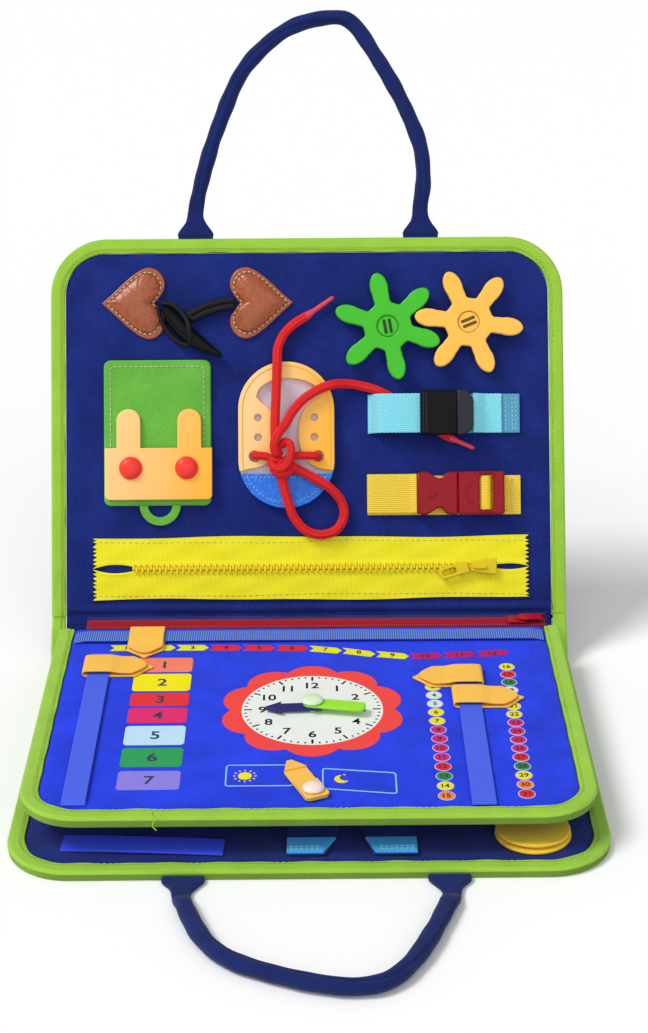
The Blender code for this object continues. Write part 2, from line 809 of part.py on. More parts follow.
def handle(name, route_shares, left, right, reach, side, rise, frame, pivot):
    """A padded loop whose two flat tabs turn about the cover's edge; side is 1 away, -1 near."""
    path = []
    for x, y in route_shares:
        across = x * (left if x < 0 else right)
        path.append((across, side * (y * reach), rise))
    path = evenly(smooth(path, 6), handle_radius * 2)
    made = tube(name, [(x + pivot[0], y + pivot[1], z + pivot[2]) for x, y, z in path],
                handle_radius, handle_cloth, frame, pivot, resolution=3)
    made = welded(made)
    tabs = []
    for label, foot in (("left", -left), ("right", right)):
        half, neck = tab_width / 2, tab_neck_width / 2
        wide = [(foot - half, 0), (foot + half, 0), (foot + neck, tab_length),
                (foot - neck, tab_length)]
        shape = [(pivot[0] + x, pivot[1] + side * y) for x, y in wide]
        if side < 0:
            shape.reverse()
        tab = plate(f"{name}_{label}_tab", [shape], pivot[2] - tab_thickness / 2, tab_thickness,
                    handle_cloth, frame, pivot, cutter=True)
        centre = (pivot[0] + foot, pivot[1], pivot[2])
        roll = cylinder(f"{name}_{label}_roll", centre, tab_roll_radius, tab_width - seat,
                        handle_cloth, frame, pivot, axis="X", cutter=True, sides=14)
        tabs += [tab, roll]
    return join(made, tabs)


def handles(table, cover):
    """The two carry loops, on the top cover's edge and on the back cover's."""
    reach_side = tab_gap + tab_thickness / 2
    top_pivot = (0, front_cover_height + reach_side, -cover_thickness / 2 + binding_rise / 2)
    handle("top_handle", top_handle_shares, top_handle_left, top_handle_right,
           top_handle_reach - reach_side, 1, 0, cover, top_pivot)
    low = tab_thickness / 2 + handle_floor_clearance
    rise = handle_radius + handle_floor_clearance - low
    bottom_pivot = (0, -back_cover_front - reach_side, low)
    handle("bottom_handle", bottom_handle_shares, bottom_handle_left, bottom_handle_right,
           bottom_handle_reach - reach_side, -1, rise, table, bottom_pivot)


def heart(name, tip_x, direction, frame):
    """A stuffed leather heart lying on its side, lofted from its rim up to its crown."""
    half = [(x * heart_length, y * heart_height / 2) for x, y in heart_outline_shares]
    upper = smooth(half, 3)
    rim = upper + [(x, -y) for x, y in reversed(upper[1:-1])]
    centre = heart_length * heart_centre_share
    base = seat
    mesh = bpy.data.meshes.new(name)
    work = bmesh.new()
    rings = []
    for share, level in heart_ring_shares:
        height = base + level * heart_edge_thickness
        height = min(height, base + heart_crown)
        rings.append([
            work.verts.new((
                tip_x + direction * (centre + (x - centre) * share),
                heart_level + y * share, height,
            ))
            for x, y in rim
        ])
    count = len(rim)
    for low, high in zip(rings, rings[1:]):
        for k in range(count):
            following = (k + 1) % count
            work.faces.new((low[k], low[following], high[following], high[k]))
    crown = work.verts.new((tip_x + direction * centre, heart_level, base + heart_crown))
    for k in range(count):
        work.faces.new((rings[-1][k], rings[-1][(k + 1) % count], crown))
    work.faces.new(list(reversed(rings[0])))
    bmesh.ops.recalc_face_normals(work, faces=work.faces)
    work.to_mesh(mesh)
    work.free()
    return place(name, mesh, brown_leather, frame)


def hearts_and_toggle(frame):
    """Two hearts, the horn toggle on its short cord, and the loop that it passes through."""
    heart("heart_left", heart_left_tip, 1, frame)
    heart("heart_right", heart_right_tip, -1, frame)
    pivot = (toggle_pivot_x, toggle_pivot_y, seat + toggle_cord_radius)
    rise = Vector((0, 0, toggle_radius - toggle_cord_radius))
    angle = math.radians(toggle_angle_deg)
    along = Vector((math.cos(angle), math.sin(angle), 0))
    across = Vector((-math.sin(angle), math.cos(angle), 0))
    count = len(toggle_radius_shares)
    route = []
    for k in range(count):
        share = k / (count - 1)
        bow = toggle_bow * math.sin(math.pi * share)
        spot = Vector(pivot) + along * (toggle_lead + share * toggle_length) - across * bow
        route.append(tuple(spot + rise))
    horn = welded(tube("toggle", route, toggle_radius, black_horn, frame, pivot,
                       radii=toggle_radius_shares))
    lead_end = Vector(pivot) + along * (toggle_lead + toggle_length / 2) + rise
    lead = welded(tube("toggle_lead", [pivot, tuple(lead_end - across * toggle_bow)],
                       toggle_cord_radius, black_cord, frame, pivot))
    cutters.objects.link(lead)
    parts.objects.unlink(lead)
    lead.hide_render = True
    lead.display_type = "WIRE"
    join(horn, [lead])
    toggle_loop(frame)


def toggle_loop(frame):
    """The cord loop from the right heart, flat on the felt and under the toggle's middle."""
    root = heart_right_tip - heart_length * heart_notch_share
    level = seat + toggle_cord_radius
    half = toggle_loop_opening / 2
    together = toggle_cord_radius + seat
    start_x = root - toggle_loop_notch
    end_x = root - toggle_loop_reach
    end_y = heart_level - toggle_loop_drop
    middle_x = (start_x + end_x) / 2
    middle_y = (heart_level + end_y) / 2
    route = [
        (start_x, heart_level + together, level), (middle_x, middle_y + half, level),
        (end_x, end_y + half, level), (end_x - half, end_y, level), (end_x, end_y - half, level),
        (middle_x, middle_y - half, level), (start_x, heart_level - together, level),
    ]
    route = evenly(smooth(route, 6), toggle_cord_radius * 2)
    tube("toggle_loop", route, toggle_cord_radius, black_cord, frame, resolution=1)


def backpack(frame):
    """The green pocket with its hanging loop, its foam flap and the flap's two snaps."""
    right = backpack_left + backpack_width
    top = backpack_bottom + backpack_height
    body = plate(
        "backpack_body",
        [rounded(backpack_left, right, backpack_bottom, top, backpack_corner_radius,
                 backpack_corner_radius)],
        seat, backpack_thickness, green_felt, frame,
    )
    inner = backpack_loop_radius - backpack_loop_band
    ring = plate(
        "backpack_ring",
        [circle(backpack_loop_x, backpack_bottom, backpack_loop_radius),
         circle(backpack_loop_x, backpack_bottom, inner)],
        seat, backpack_loop_thickness, green_felt, frame, cutter=True,
    )
    join(body, [ring])
    hinge = (0, backpack_bottom, 2 * seat + backpack_thickness)
    left = backpack_left + flap_overhang
    flap_right = left + backpack_width
    shoulder = flap_bottom + flap_height
    half = tongue_width / 2
    tip = shoulder + tongue_length - half
    outline = rounded(left, flap_right, flap_bottom, shoulder, backpack_corner_radius)[:-2]
    outline += [(flap_right, shoulder), (tongue_right_x + half, shoulder)]
    outline += arc(tongue_right_x, tip, half, 0, 180)
    outline += [(tongue_right_x - half, shoulder), (tongue_left_x + half, shoulder)]
    outline += arc(tongue_left_x, tip, half, 0, 180)
    outline += [(tongue_left_x - half, shoulder), (left, shoulder)]
    plate("backpack_flap", [outline], hinge[2], flap_thickness, orange_foam, frame, hinge,
          edge=foam_edge)
    snap_base = hinge[2] + flap_thickness + seat
    for name, x in (("snap_left", snap_left_x), ("snap_right", snap_right_x)):
        dome(name, x, snap_level, snap_base, snap_radius, snap_height, red_snap, frame)


def domed(base, radius, height):
    """The profile of a domed cap, from the top of its axis to its lower edge."""
    rim = height * cap_rim_share
    angles = [math.radians(90 * k / 6) for k in range(7)]
    profile = [(radius * math.sin(a), base + rim + (height - rim) * math.cos(a)) for a in angles]
    return profile + [(radius, base)]


def dome(name, x, y, base, radius, height, look, frame, pin_radius=0, pin_bottom=0):
    """A domed cap; with a pin radius, it stands on a pin that starts lower down."""
    profile = domed(base, radius, height)
    if pin_radius:
        profile += [(pin_radius, base), (pin_radius, pin_bottom), (0, pin_bottom)]
    else:
        profile.append((0, base))
    return turned(name, profile, look, frame, (x, y, 0))


def shoe_spot(x_share, y_share):
    """A point of the shoe from shares of its half width and its height."""
    return (shoe_x + x_share * shoe_width / 2, shoe_bottom + y_share * shoe_height)


def shoe(frame):
    """The lining, the toe cap and the foam upper with its quarters and eyelets."""
    half = shoe_width / 2
    left, right = shoe_x - half, shoe_x + half
    top = shoe_bottom + shoe_height
    lining = rounded(left, right, shoe_bottom, top, half, half)
    plate("shoe_lining", [lining], seat, shoe_lining_thickness, lavender_lining, frame)
    level = 2 * seat + shoe_lining_thickness
    lean = math.degrees(math.asin((half - toe_height) / half))
    cap = arc(shoe_x, shoe_bottom + half, half, 180 + lean, 360 - lean, 16)
    plate("shoe_toe_cap", [cap], level, toe_thickness, blue_leather, frame)
    lean = math.degrees(math.asin((half - shoe_upper_start) / half))
    outer = arc(shoe_x, shoe_bottom + half, half, 360 - lean, 360, 3)
    outer += arc(shoe_x, top - half, half, 0, 180, 16)
    outer += arc(shoe_x, shoe_bottom + half, half, 180, 180 + lean, 3)
    inner = smooth([shoe_spot(x, y) for x, y in shoe_quarter_shares], 3)
    holes = []
    for y in eyelet_levels:
        for x in (-eyelet_spread, eyelet_spread):
            holes.append(circle(shoe_x + x, y, eyelet_radius, 12))
    for x in (-laced_eyelet_spread, laced_eyelet_spread):
        holes.append(circle(shoe_x + x, laced_eyelet_level, laced_eyelet_radius, 14))
    plate("shoe_upper", [outer + inner] + holes, level, shoe_upper_thickness, orange_foam, frame)


def lace(frame):
    """The knotted middle of the lace, its two tipped tails and its loop."""
    upper_top = 2 * seat + shoe_lining_thickness + shoe_upper_thickness
    level = upper_top + seat + lace_radius
    low = 3 * seat + shoe_lining_thickness
    left = shoe_x - laced_eyelet_spread
    right = shoe_x + laced_eyelet_spread
    bars = [
        (left, laced_eyelet_level, low), (left, laced_eyelet_level, level - lace_dip),
        (left + lace_dip, laced_eyelet_level, level), (knot_x, knot_y, level + knot_cross_rise),
        (right - lace_dip, laced_eyelet_level, level),
        (right, laced_eyelet_level, level - lace_dip), (right, laced_eyelet_level, low),
    ]
    knot = welded(tube("lace_knot", evenly(smooth(bars, 6), knot_step), lace_radius, red_lace,
                       frame))
    ball = bmesh.new()
    bmesh.ops.create_uvsphere(ball, u_segments=14, v_segments=8, radius=knot_radius)
    bmesh.ops.translate(ball, vec=(knot_x, knot_y, level + knot_ball_rise), verts=ball.verts)
    mesh = bpy.data.meshes.new("knot_ball")
    ball.to_mesh(mesh)
    ball.free()
    join(knot, [place("knot_ball", mesh, red_lace, frame, cutter=True)])
    tail("lace_tail_up", lace_up_route, lace_up_tip, frame)
    tail("lace_tail_right", lace_right_route, lace_right_tip, frame)
    tube("lace_loop", evenly(smooth(lace_loop_route, 8), lace_step), lace_radius, red_lace, frame)


def tail(name, route, tip, frame):
    """A free end of the lace with a thin hard tip."""
    cord = evenly(smooth(route, 8), lace_step)
    end, before = Vector(cord[-1]), Vector(cord[-2])
    step = (end - before).normalized() * lace_radius
    points = cord + [tuple(end + step), tip]
    radii = [1] * len(cord) + [aglet_radius / lace_radius] * 2
    return tube(name, points, lace_radius, red_lace, frame, radii=radii)


def gear_outline():
    """Six paddle-shaped arms with round valleys between them."""
    pitch = 360 / gear_arms
    points = []
    for arm in range(gear_arms):
        middle = arm * pitch
        key = [(gear_valley_share * gear_radius, math.radians(middle - pitch / 2)),
               (gear_valley_side_share * gear_radius, math.radians(middle - gear_valley_side_deg))]
        spots = [(r * math.cos(a), r * math.sin(a)) for r, a in key]
        side = [(r * gear_radius, -w * gear_radius) for r, w in gear_arm_shares]
        side += [(r * gear_radius, w * gear_radius) for r, w in reversed(gear_arm_shares[:-1])]
        spots += turned_outline(side, middle)
        last = math.radians(middle + gear_valley_side_deg)
        radius = gear_valley_side_share * gear_radius
        spots.append((radius * math.cos(last), radius * math.sin(last)))
        points += spots
    return smooth(points, 1, closed=True)


def gear(name, pin_name, x, y, phase_deg, look, frame):
    """A flower gear on its headed post."""
    origin = (x, y, 0)
    rim = turned_outline(gear_outline(), phase_deg, x, y)
    bore = circle(x, y, gear_bore_radius, 20)
    wheel = plate(name, [rim, bore], gear_rise, gear_thickness, look, frame, origin, edge=gear_edge)
    top = gear_rise + gear_thickness
    recess = cylinder(f"{name}_recess", (x, y, top), gear_recess_radius, 2 * gear_recess_depth,
                      look, frame, origin, cutter=True, sides=28)
    cut(wheel, [recess])
    head_low = top - gear_recess_depth + seat
    head_top = head_low + gear_head_thickness
    profile = [
        (0, head_top), (gear_head_radius, head_top), (gear_head_radius, head_low),
        (gear_post_radius, head_low), (gear_post_radius, seat + gear_foot_thickness),
        (gear_foot_radius, seat + gear_foot_thickness), (gear_foot_radius, seat), (0, seat),
    ]
    pin = turned(pin_name, profile, look, frame, origin, steps=24)
    half = head_slot_width / 2
    length = head_slot_length / 2
    slot = box(f"{name}_slot", (x - half, y - length, head_top - head_slot_depth),
               (x + half, y + length, head_top + head_slot_depth), look, frame, origin, cutter=True)
    cut(pin, [slot])


def gears(frame):
    """The green and the yellow gear, in mesh."""
    line = math.radians(gear_line_deg)
    gear("green_gear", "green_gear_pin", green_gear_x, green_gear_y,
         gear_line_deg + green_gear_phase_deg, green_plastic, frame)
    partner_phase = -180 / gear_arms - green_gear_phase_deg
    gear("yellow_gear", "yellow_gear_pin",
         green_gear_x + gear_spacing * math.cos(line), green_gear_y + gear_spacing * math.sin(line),
         gear_line_deg + 180 + partner_phase, yellow_plastic, frame)


def banded(path, thickness):
    """The outline of a band whose lower side follows a path in X and Z."""
    upper = [(x, z + thickness) for x, z in path]
    return list(path) + list(reversed(upper))


def clasp(frame):
    """The light-blue strap with its black clasp housing and grey tongue."""
    level = blue_strap_level
    right = clasp_left + clasp_length
    bridge = [
        (blue_strap_left, seat), (blue_strap_left + webbing_thickness, seat),
        (blue_strap_left + blue_foot_length, clasp_rise), (clasp_left - seat, clasp_rise),
    ]
    strip("blue_strap", banded(bridge, webbing_thickness), level, strap_width, sky_webbing, frame)
    base = [(blue_strap_right - blue_base_length, seat), (blue_strap_right, seat)]
    strip("blue_strap_base", banded(base, webbing_thickness), level, strap_width, sky_webbing,
          frame)
    half = clasp_width / 2
    top = clasp_rise + clasp_thickness
    housing = box("clasp_housing", (clasp_left, level - half, clasp_rise),
                  (right, level + half, top), black_plastic, frame)
    inner = half - clasp_wall
    cavity = box("clasp_cavity", (clasp_left + clasp_back_wall, level - inner,
                                  clasp_rise + clasp_wall),
                 (right + clasp_wall, level + inner, top - clasp_wall), black_plastic, frame,
                 cutter=True)
    cut(housing, [cavity])
    plug = inner - tongue_clearance
    low = clasp_rise + clasp_wall + tongue_clearance
    high = top - clasp_wall - tongue_clearance
    tongue = box("clasp_tongue", (right - tongue_plug_length, level - plug, low),
                 (right + webbing_thickness, level + plug, high), grey_plastic, frame)
    head_left = right + seat
    head_right = head_left + tongue_head_length
    outline = [(head_left, level - half)]
    outline += arc(head_right - tongue_head_radius, level - half + tongue_head_radius,
                   tongue_head_radius, 270, 360, 4)
    outline += arc(head_right - tongue_head_radius, level + half - tongue_head_radius,
                   tongue_head_radius, 0, 90, 4)
    outline += [(head_left, level + half)]
    head = plate("tongue_head", [outline], clasp_rise, clasp_thickness - seat, grey_plastic, frame,
                 cutter=True)
    join(tongue, [head])
    blue_tail(head_right, frame)


def blue_tail(start, frame):
    """The strap's free end, from the tongue down onto its lower layer."""
    rest = webbing_thickness + 2 * seat
    path = [(start + seat, clasp_rise), (start + blue_rise_length, rest),
            (start + blue_tail_length, rest)]
    strip("blue_strap_tail", banded(path, webbing_thickness), blue_strap_level, strap_width,
          sky_webbing, frame)


def buckle(frame):
    """The yellow strap with its side-release buckle: a waisted socket and a two-armed plug."""
    level = yellow_strap_level
    low, top = buckle_rise, buckle_rise + buckle_thickness
    half = buckle_width / 2
    right = socket_left + socket_length
    yellow_strap(level, frame)
    waist = buckle_waist / 2
    side = [(socket_left + x * socket_length, y * half) for x, y in buckle_side_shares]
    outline = [(x, level - y) for x, y in side] + [(x, level + y) for x, y in reversed(side)]
    socket = plate("buckle_socket", [outline], low, buckle_thickness, maroon_plastic, frame,
                   edge=plastic_edge)
    inner = waist - buckle_wall
    mouth = (low + buckle_wall, top - buckle_wall)
    cavity = box("socket_cavity", (socket_left + socket_back_wall, level - inner, mouth[0]),
                 (right + buckle_wall, level + inner, mouth[1]), maroon_plastic, frame,
                 cutter=True)
    cut(socket, [cavity])
    buckle_plug(right, inner, mouth, frame)


def buckle_plug(socket_right, inner, mouth, frame):
    """The plug: a body with a strap window and bar, two side arms and a middle guide."""
    level = yellow_strap_level
    low, top = buckle_rise, buckle_rise + buckle_thickness
    half = buckle_width / 2
    left = socket_right + plug_clearance
    window_left = left + plug_body_length
    window_right = window_left + plug_window_length
    right = window_right + plug_bar_length
    plug = plate(
        "buckle_plug",
        [rounded(left, right, level - half, level + half, buckle_wall, buckle_wall),
         rectangle(window_left, window_right, level - half + plug_rail, level + half - plug_rail)],
        low, buckle_thickness, maroon_plastic, frame,
    )
    arm_low, arm_high = mouth[0] + plug_clearance, mouth[1] - plug_clearance
    reach = inner - plug_clearance
    arms = []
    for label, a, b, length in (
        ("lower", -reach, -reach + plug_arm_width, plug_arm_length),
        ("upper", reach - plug_arm_width, reach, plug_arm_length),
        ("middle", -plug_guide_width / 2, plug_guide_width / 2, plug_guide_length),
    ):
        arms.append(box(f"plug_{label}_arm", (left - length, level + a, arm_low),
                        (left + buckle_wall, level + b, arm_high), maroon_plastic, frame,
                        cutter=True))
    bar_gap = 2 * seat + webbing_thickness
    notch = box("plug_bar_notch",
                (window_right - buckle_wall, level - half + plug_rail, low - seat),
                (right + buckle_wall, level + half - plug_rail, low + bar_gap), maroon_plastic,
                frame, cutter=True)
    join(plug, arms)
    cut(plug, [notch])
    strap_loop(window_left, window_right, right, frame)


def strap_loop(window_left, window_right, right, frame):
    """The webbing round the plug's end bar: up in the window and out under the bar."""
    floor = 2 * seat + webbing_thickness + seat
    rise = buckle_rise + buckle_thickness * strap_loop_rise_share
    crown = buckle_rise + buckle_thickness * strap_loop_crown_share
    near, far = window_left + seat * 2, window_right - seat * 2
    third = (far - near) / 3
    path = [(near, rise), (near + third, crown), (far - third, crown),
            (far - webbing_thickness, floor), (right + strap_fold_length, floor)]
    outline = list(path)
    outline += [(right + strap_fold_length, floor + webbing_thickness),
                (far, floor + webbing_thickness), (far - third + webbing_thickness,
                crown + webbing_thickness), (near + third, crown + webbing_thickness),
                (near, rise + webbing_thickness)]
    width = strap_width - 2 * plug_rail
    strip("yellow_strap_loop", outline, yellow_strap_level, width, gold_webbing, frame)


def yellow_strap(level, frame):
    """The lower webbing, sewn at both ends, and its upper layer up to the socket's bar."""
    t = webbing_thickness
    bar = socket_left - seat
    lift = buckle_rise + buckle_thickness / 2 - t / 2
    outline = [
        (yellow_strap_left, seat), (yellow_strap_right, seat), (yellow_strap_right, seat + t),
        (yellow_strap_left + strap_fold_length, seat + t),
        (yellow_strap_left + strap_fold_length, 2 * seat + t),
        (bar - strap_fold_length, 2 * seat + t), (bar, lift), (bar, lift + t),
        (bar - strap_fold_length, 2 * seat + 2 * t), (yellow_strap_left, 2 * seat + 2 * t),
    ]
    strip("yellow_strap", outline, level, strap_width, gold_webbing, frame)


def pinked(left, right, near, far, pinks, depth):
    """A tape outline whose two ends are cut in zigzags."""
    step = (far - near) / pinks
    points = [(left, near)]
    points.append((right, near))
    for k in range(pinks):
        points.append((right - depth, near + step * (k + 0.5)))
        points.append((right, near + step * (k + 1)))
    points.append((left, far))
    for k in reversed(range(pinks)):
        points.append((left + depth, near + step * (k + 0.5)))
        if k:
            points.append((left, near + step * k))
    return points


def teeth_outline(side):
    """A toothed strip along the zip's middle; the two sides' teeth stand in each other's gaps."""
    offset = 0 if side > 0 else zip_tooth_pitch / 2
    half_tooth = zip_tooth_pitch / 4 - zip_tooth_clearance / 2
    start = zip_teeth_left + offset
    root = side * (zip_tape_gap / 2 + zip_tooth_root)
    neck = side * (zip_tooth_reach + zip_tooth_clearance) / 2
    tip = -side * (zip_tooth_reach - zip_tooth_clearance) / 2
    points = []
    for k in range(zip_teeth):
        x = start + k * zip_tooth_pitch
        points += [(x - half_tooth, neck), (x - half_tooth, tip), (x + half_tooth, tip),
                   (x + half_tooth, neck)]
    points.append((start + (zip_teeth - 1) * zip_tooth_pitch + half_tooth, root))
    points.append((start - half_tooth, root))
    found = [(x, zip_level + y) for x, y in points]
    return found


def yellow_zip(frame):
    """The two halves of the yellow zip with their teeth, the slider and its pull."""
    right = zip_left + zip_length
    for name, side in (("zip_lower_half", -1), ("zip_upper_half", 1)):
        edge = zip_level + side * zip_tape_gap / 2
        rim = edge + side * zip_tape_width
        outline = pinked(zip_left, right, min(edge, rim), max(edge, rim), zip_pinks, zip_pink_depth)
        tape = plate(name, [outline], seat, zip_tape_thickness, yellow_tape, frame)
        teeth = plate(f"{name}_teeth", [teeth_outline(side)], 2 * seat, zip_tooth_thickness,
                      yellow_tape, frame, cutter=True)
        join(tape, [teeth], "MANIFOLD")
    slider_base = 3 * seat + zip_tooth_thickness
    origin = (slider_left, zip_level, slider_base)
    half, nose = slider_width / 2, slider_nose_width / 2
    end = slider_left + slider_length
    outline = [(slider_left, zip_level - nose), (end, zip_level - half), (end, zip_level + half),
               (slider_left, zip_level + nose)]
    plate("zip_slider", [outline], slider_base, slider_thickness, yellow_plastic, frame, origin,
          edge=plastic_edge)
    pull_low = slider_base + seat
    pivot = (slider_left - pull_lug, zip_level, pull_low + pull_thickness / 2)
    far = slider_left - seat * 2
    tab = rounded(far - pull_length, far, zip_level - pull_width / 2, zip_level + pull_width / 2,
                  pull_near_radius, pull_far_radius)
    hole = circle(far - pull_length + pull_width / 2, zip_level, pull_hole_radius, 12)
    plate("zip_pull", [tab, hole], pull_low, pull_thickness, yellow_plastic, frame, pivot)


def page(frame, hinge):
    """The blue clock page, its binding and the red zip along its sewn edge; Z is the felt's top."""
    half = page_width / 2
    board = half - page_binding_width - seat
    low = -page_thickness
    plate("page_panel",
          [rounded(-board, board, -page_front + page_binding_width + seat, page_back,
                   page_corner_radius - page_binding_width - seat)],
          low, page_thickness, royal_felt, frame, hinge)
    plate("page_binding",
          [binding_outline(half, -page_front, page_back, page_corner_radius, page_binding_width)],
          low - binding_rise / 2, page_thickness + 1.5 * binding_rise, lime_binding, frame, hinge)
    red_zip(frame, hinge)


def red_zip(frame, hinge):
    """The red zip tape with its coil, and the slider with its ring pull."""
    left = red_zip_x - red_zip_length / 2
    near = page_back + seat
    far = near + red_zip_width
    tape = plate("red_zip_tape", [rectangle(left, left + red_zip_length, near, far)],
                 -red_zip_thickness, red_zip_thickness, red_tape, frame, hinge)
    middle = (near + far) / 2
    half = red_coil_width / 2
    coil = box("red_zip_coil", (left, middle - half, -seat),
               (left + red_zip_length - red_coil_width, middle + half, red_coil_rise), red_tape,
               frame, hinge, cutter=True)
    join(tape, [coil])
    base = red_coil_rise + seat
    origin = (red_slider_x, middle, base)
    half = red_slider_width / 2
    slider = box("red_zip_slider", (red_slider_x, middle - half, base),
                 (red_slider_x + red_slider_length, middle + half, base + red_slider_thickness),
                 red_metal, frame, origin)
    start = red_slider_x + red_slider_length / 2
    end = start + red_pull_length
    half = red_pull_width / 2
    pull = plate(
        "red_zip_pull",
        [rounded(start, end, -half, half, half / 2, half / 2),
         circle(end - half, 0, red_pull_hole_radius, 14)],
        -red_pull_thickness / 2, red_pull_thickness, red_metal, frame, cutter=True,
    )
    pull.rotation_euler = (math.radians(red_pull_tilt_deg), 0, 0)
    lift = red_pull_width / 2 * math.sin(math.radians(red_pull_tilt_deg))
    pull.location = (0, middle, base + red_slider_thickness / 2 + lift)
    join(slider, [pull])


def ribbon(name, x, y, length, along_x, frame, hinge):
    """A grosgrain band held off the felt by its two sewn ends; x, y is its middle."""
    half = length / 2
    low, high = ribbon_rise, ribbon_rise + ribbon_thickness
    profile = [
        (-half, seat), (-half + ribbon_pad, seat), (-half + ribbon_pad, low),
        (half - ribbon_pad, low), (half - ribbon_pad, seat), (half, seat), (half, high),
        (-half, high),
    ]
    made = strip(name, profile, 0, ribbon_width, blue_ribbon, frame)
    if not along_x:
        made.data.transform(Matrix.Rotation(math.radians(90), 4, "Z"))
    made.data.transform(shift(x - hinge[0], y - hinge[1], -hinge[2]))
    made.location = hinge
    return made


def ribbons(frame, hinge):
    """The three grosgrain bands that the foam pointers slide on."""
    ribbon("month_ribbon", 0, month_ribbon_level, month_ribbon_length, True, frame, hinge)
    ribbon("weekday_ribbon", weekday_ribbon_x, weekday_ribbon_back - weekday_ribbon_length / 2,
           weekday_ribbon_length, False, frame, hinge)
    ribbon("date_ribbon", date_ribbon_x, date_ribbon_back - date_ribbon_length / 2,
           date_ribbon_length, False, frame, hinge)


def pointer(name, x, y, direction_deg, length, frame):
    """A foam pointer: a loop round the ribbon with a flat tip; x, y is on the ribbon's middle."""
    origin = (x, y, 0)
    half = pointer_width / 2
    slot = ribbon_width / 2 + pointer_slot_clearance
    back = slot + pointer_side_wall
    tip = length - back
    shoulder = tip - pointer_point_length
    outline = [(-back, -half), (shoulder, -half), (tip, 0), (shoulder, half), (-back, half)]
    low = seat
    high = ribbon_rise + ribbon_thickness + pointer_slot_clearance + foam_top
    body = plate(name, [turned_outline(outline, direction_deg, x, y)], low, high - low, orange_foam,
                 frame, origin, edge=foam_edge)
    channel_low = ribbon_rise - pointer_slot_clearance
    channel_high = ribbon_rise + ribbon_thickness + pointer_slot_clearance
    channel = plate(f"{name}_channel",
                    [turned_outline(rectangle(-slot, slot, -2 * half, 2 * half), direction_deg, x,
                                    y)],
                    channel_low, channel_high - channel_low, orange_foam, frame, origin,
                    cutter=True)
    cut(body, [channel])


def pointers(frame):
    """The month, weekday and two date pointers."""
    pointer("month_pointer", month_pointer_x, month_ribbon_level, -90, month_pointer_length, frame)
    pointer("weekday_pointer", weekday_ribbon_x, weekday_pointer_y, 0, pointer_length, frame)
    pointer("date_pointer_upper", date_ribbon_x, date_upper_y, 180, pointer_length, frame)
    pointer("date_pointer_lower", date_ribbon_x, date_lower_y, 0, pointer_length, frame)


def hand(name, length, width, angle_deg, base, look, frame, arrow):
    """A clock hand with a round eye, and an arrow head or a round end."""
    origin = (clock_x, clock_y, 0)
    half = width / 2
    opening = math.degrees(math.asin(half / hand_eye_radius))
    outline = arc(0, 0, hand_eye_radius, opening, 360 - opening, 20)
    if arrow:
        neck = length - arrow_length
        outline += [(neck, -half), (neck, -arrow_width / 2), (length, 0), (neck, arrow_width / 2),
                    (neck, half)]
    else:
        outline += arc(length - half, 0, half, 270, 450, 8)
    bore = circle(0, 0, clock_pin_radius + clock_pin_clearance, 16)
    plate(name, [turned_outline(outline, angle_deg, clock_x, clock_y),
                 turned_outline(bore, 0, clock_x, clock_y)],
          base, hand_thickness, look, frame, origin, edge=hand_edge)


def clock(frame, hinge):
    """The clock's two hands on their capped pin."""
    first = seat + clock_foot_thickness + hand_gap
    second = first + hand_thickness + hand_gap
    cap_base = second + hand_thickness + hand_gap
    hand("hour_hand", hour_hand_length, hour_hand_width, hour_hand_angle_deg, first, navy_plastic,
         frame, True)
    hand("minute_hand", minute_hand_length, minute_hand_width, minute_hand_angle_deg, second,
         lime_plastic, frame, False)
    foot = seat + clock_foot_thickness
    profile = domed(cap_base, clock_cap_radius, clock_cap_height) + [
        (clock_pin_radius, cap_base), (clock_pin_radius, foot), (clock_foot_radius, foot),
        (clock_foot_radius, seat), (0, seat),
    ]
    turned("clock_pin", profile, pale_cap, frame, (clock_x, clock_y, 0))


def daypart(frame):
    """The foam pointer between the sun and the moon, on its rivet."""
    origin = (daypart_x, daypart_y, 0)
    half = daypart_width / 2
    tip = daypart_length - daypart_tail
    outline = [
        (-daypart_tail, -half + daypart_corner), (-daypart_tail + daypart_corner, -half),
        (tip - half, -half), (tip, 0), (tip - half, half), (-daypart_tail + daypart_corner, half),
        (-daypart_tail, half - daypart_corner),
    ]
    bore = circle(0, 0, rivet_pin_radius + seat, 14)
    plate("daypart_pointer",
          [turned_outline(outline, daypart_angle_deg, daypart_x, daypart_y),
           turned_outline(bore, 0, daypart_x, daypart_y)],
          2 * seat, daypart_thickness, orange_foam, frame, origin, edge=foam_edge)
    cap = 3 * seat + daypart_thickness
    dome("daypart_rivet", daypart_x, daypart_y, cap, rivet_radius, rivet_height, pink_rivet, frame,
         rivet_pin_radius, seat)


def page_root(frame, fold_gap):
    """The felt tongue that ties the page's edge to the spine; it stays level as the spine leans."""
    half = root_strip_width / 2
    lean = math.radians(90 - spine_lean_deg)
    along = Vector((0, math.cos(lean), -math.sin(lean)))
    across = Vector((0, math.sin(lean), math.cos(lean))) * root_strip_thickness / 2
    near, far = along * root_strip_inset, along * (fold_gap - seat)
    mesh = bpy.data.meshes.new("page_root_strip")
    work = bmesh.new()
    bmesh.ops.create_cube(work, size=1)
    for vert in work.verts:
        end = far if vert.co.y > 0 else near
        side = across if vert.co.z > 0 else -across
        vert.co = Vector((half if vert.co.x > 0 else -half, 0, 0)) + end + side
    work.to_mesh(mesh)
    work.free()
    return place("page_root_strip", mesh, royal_felt, frame)


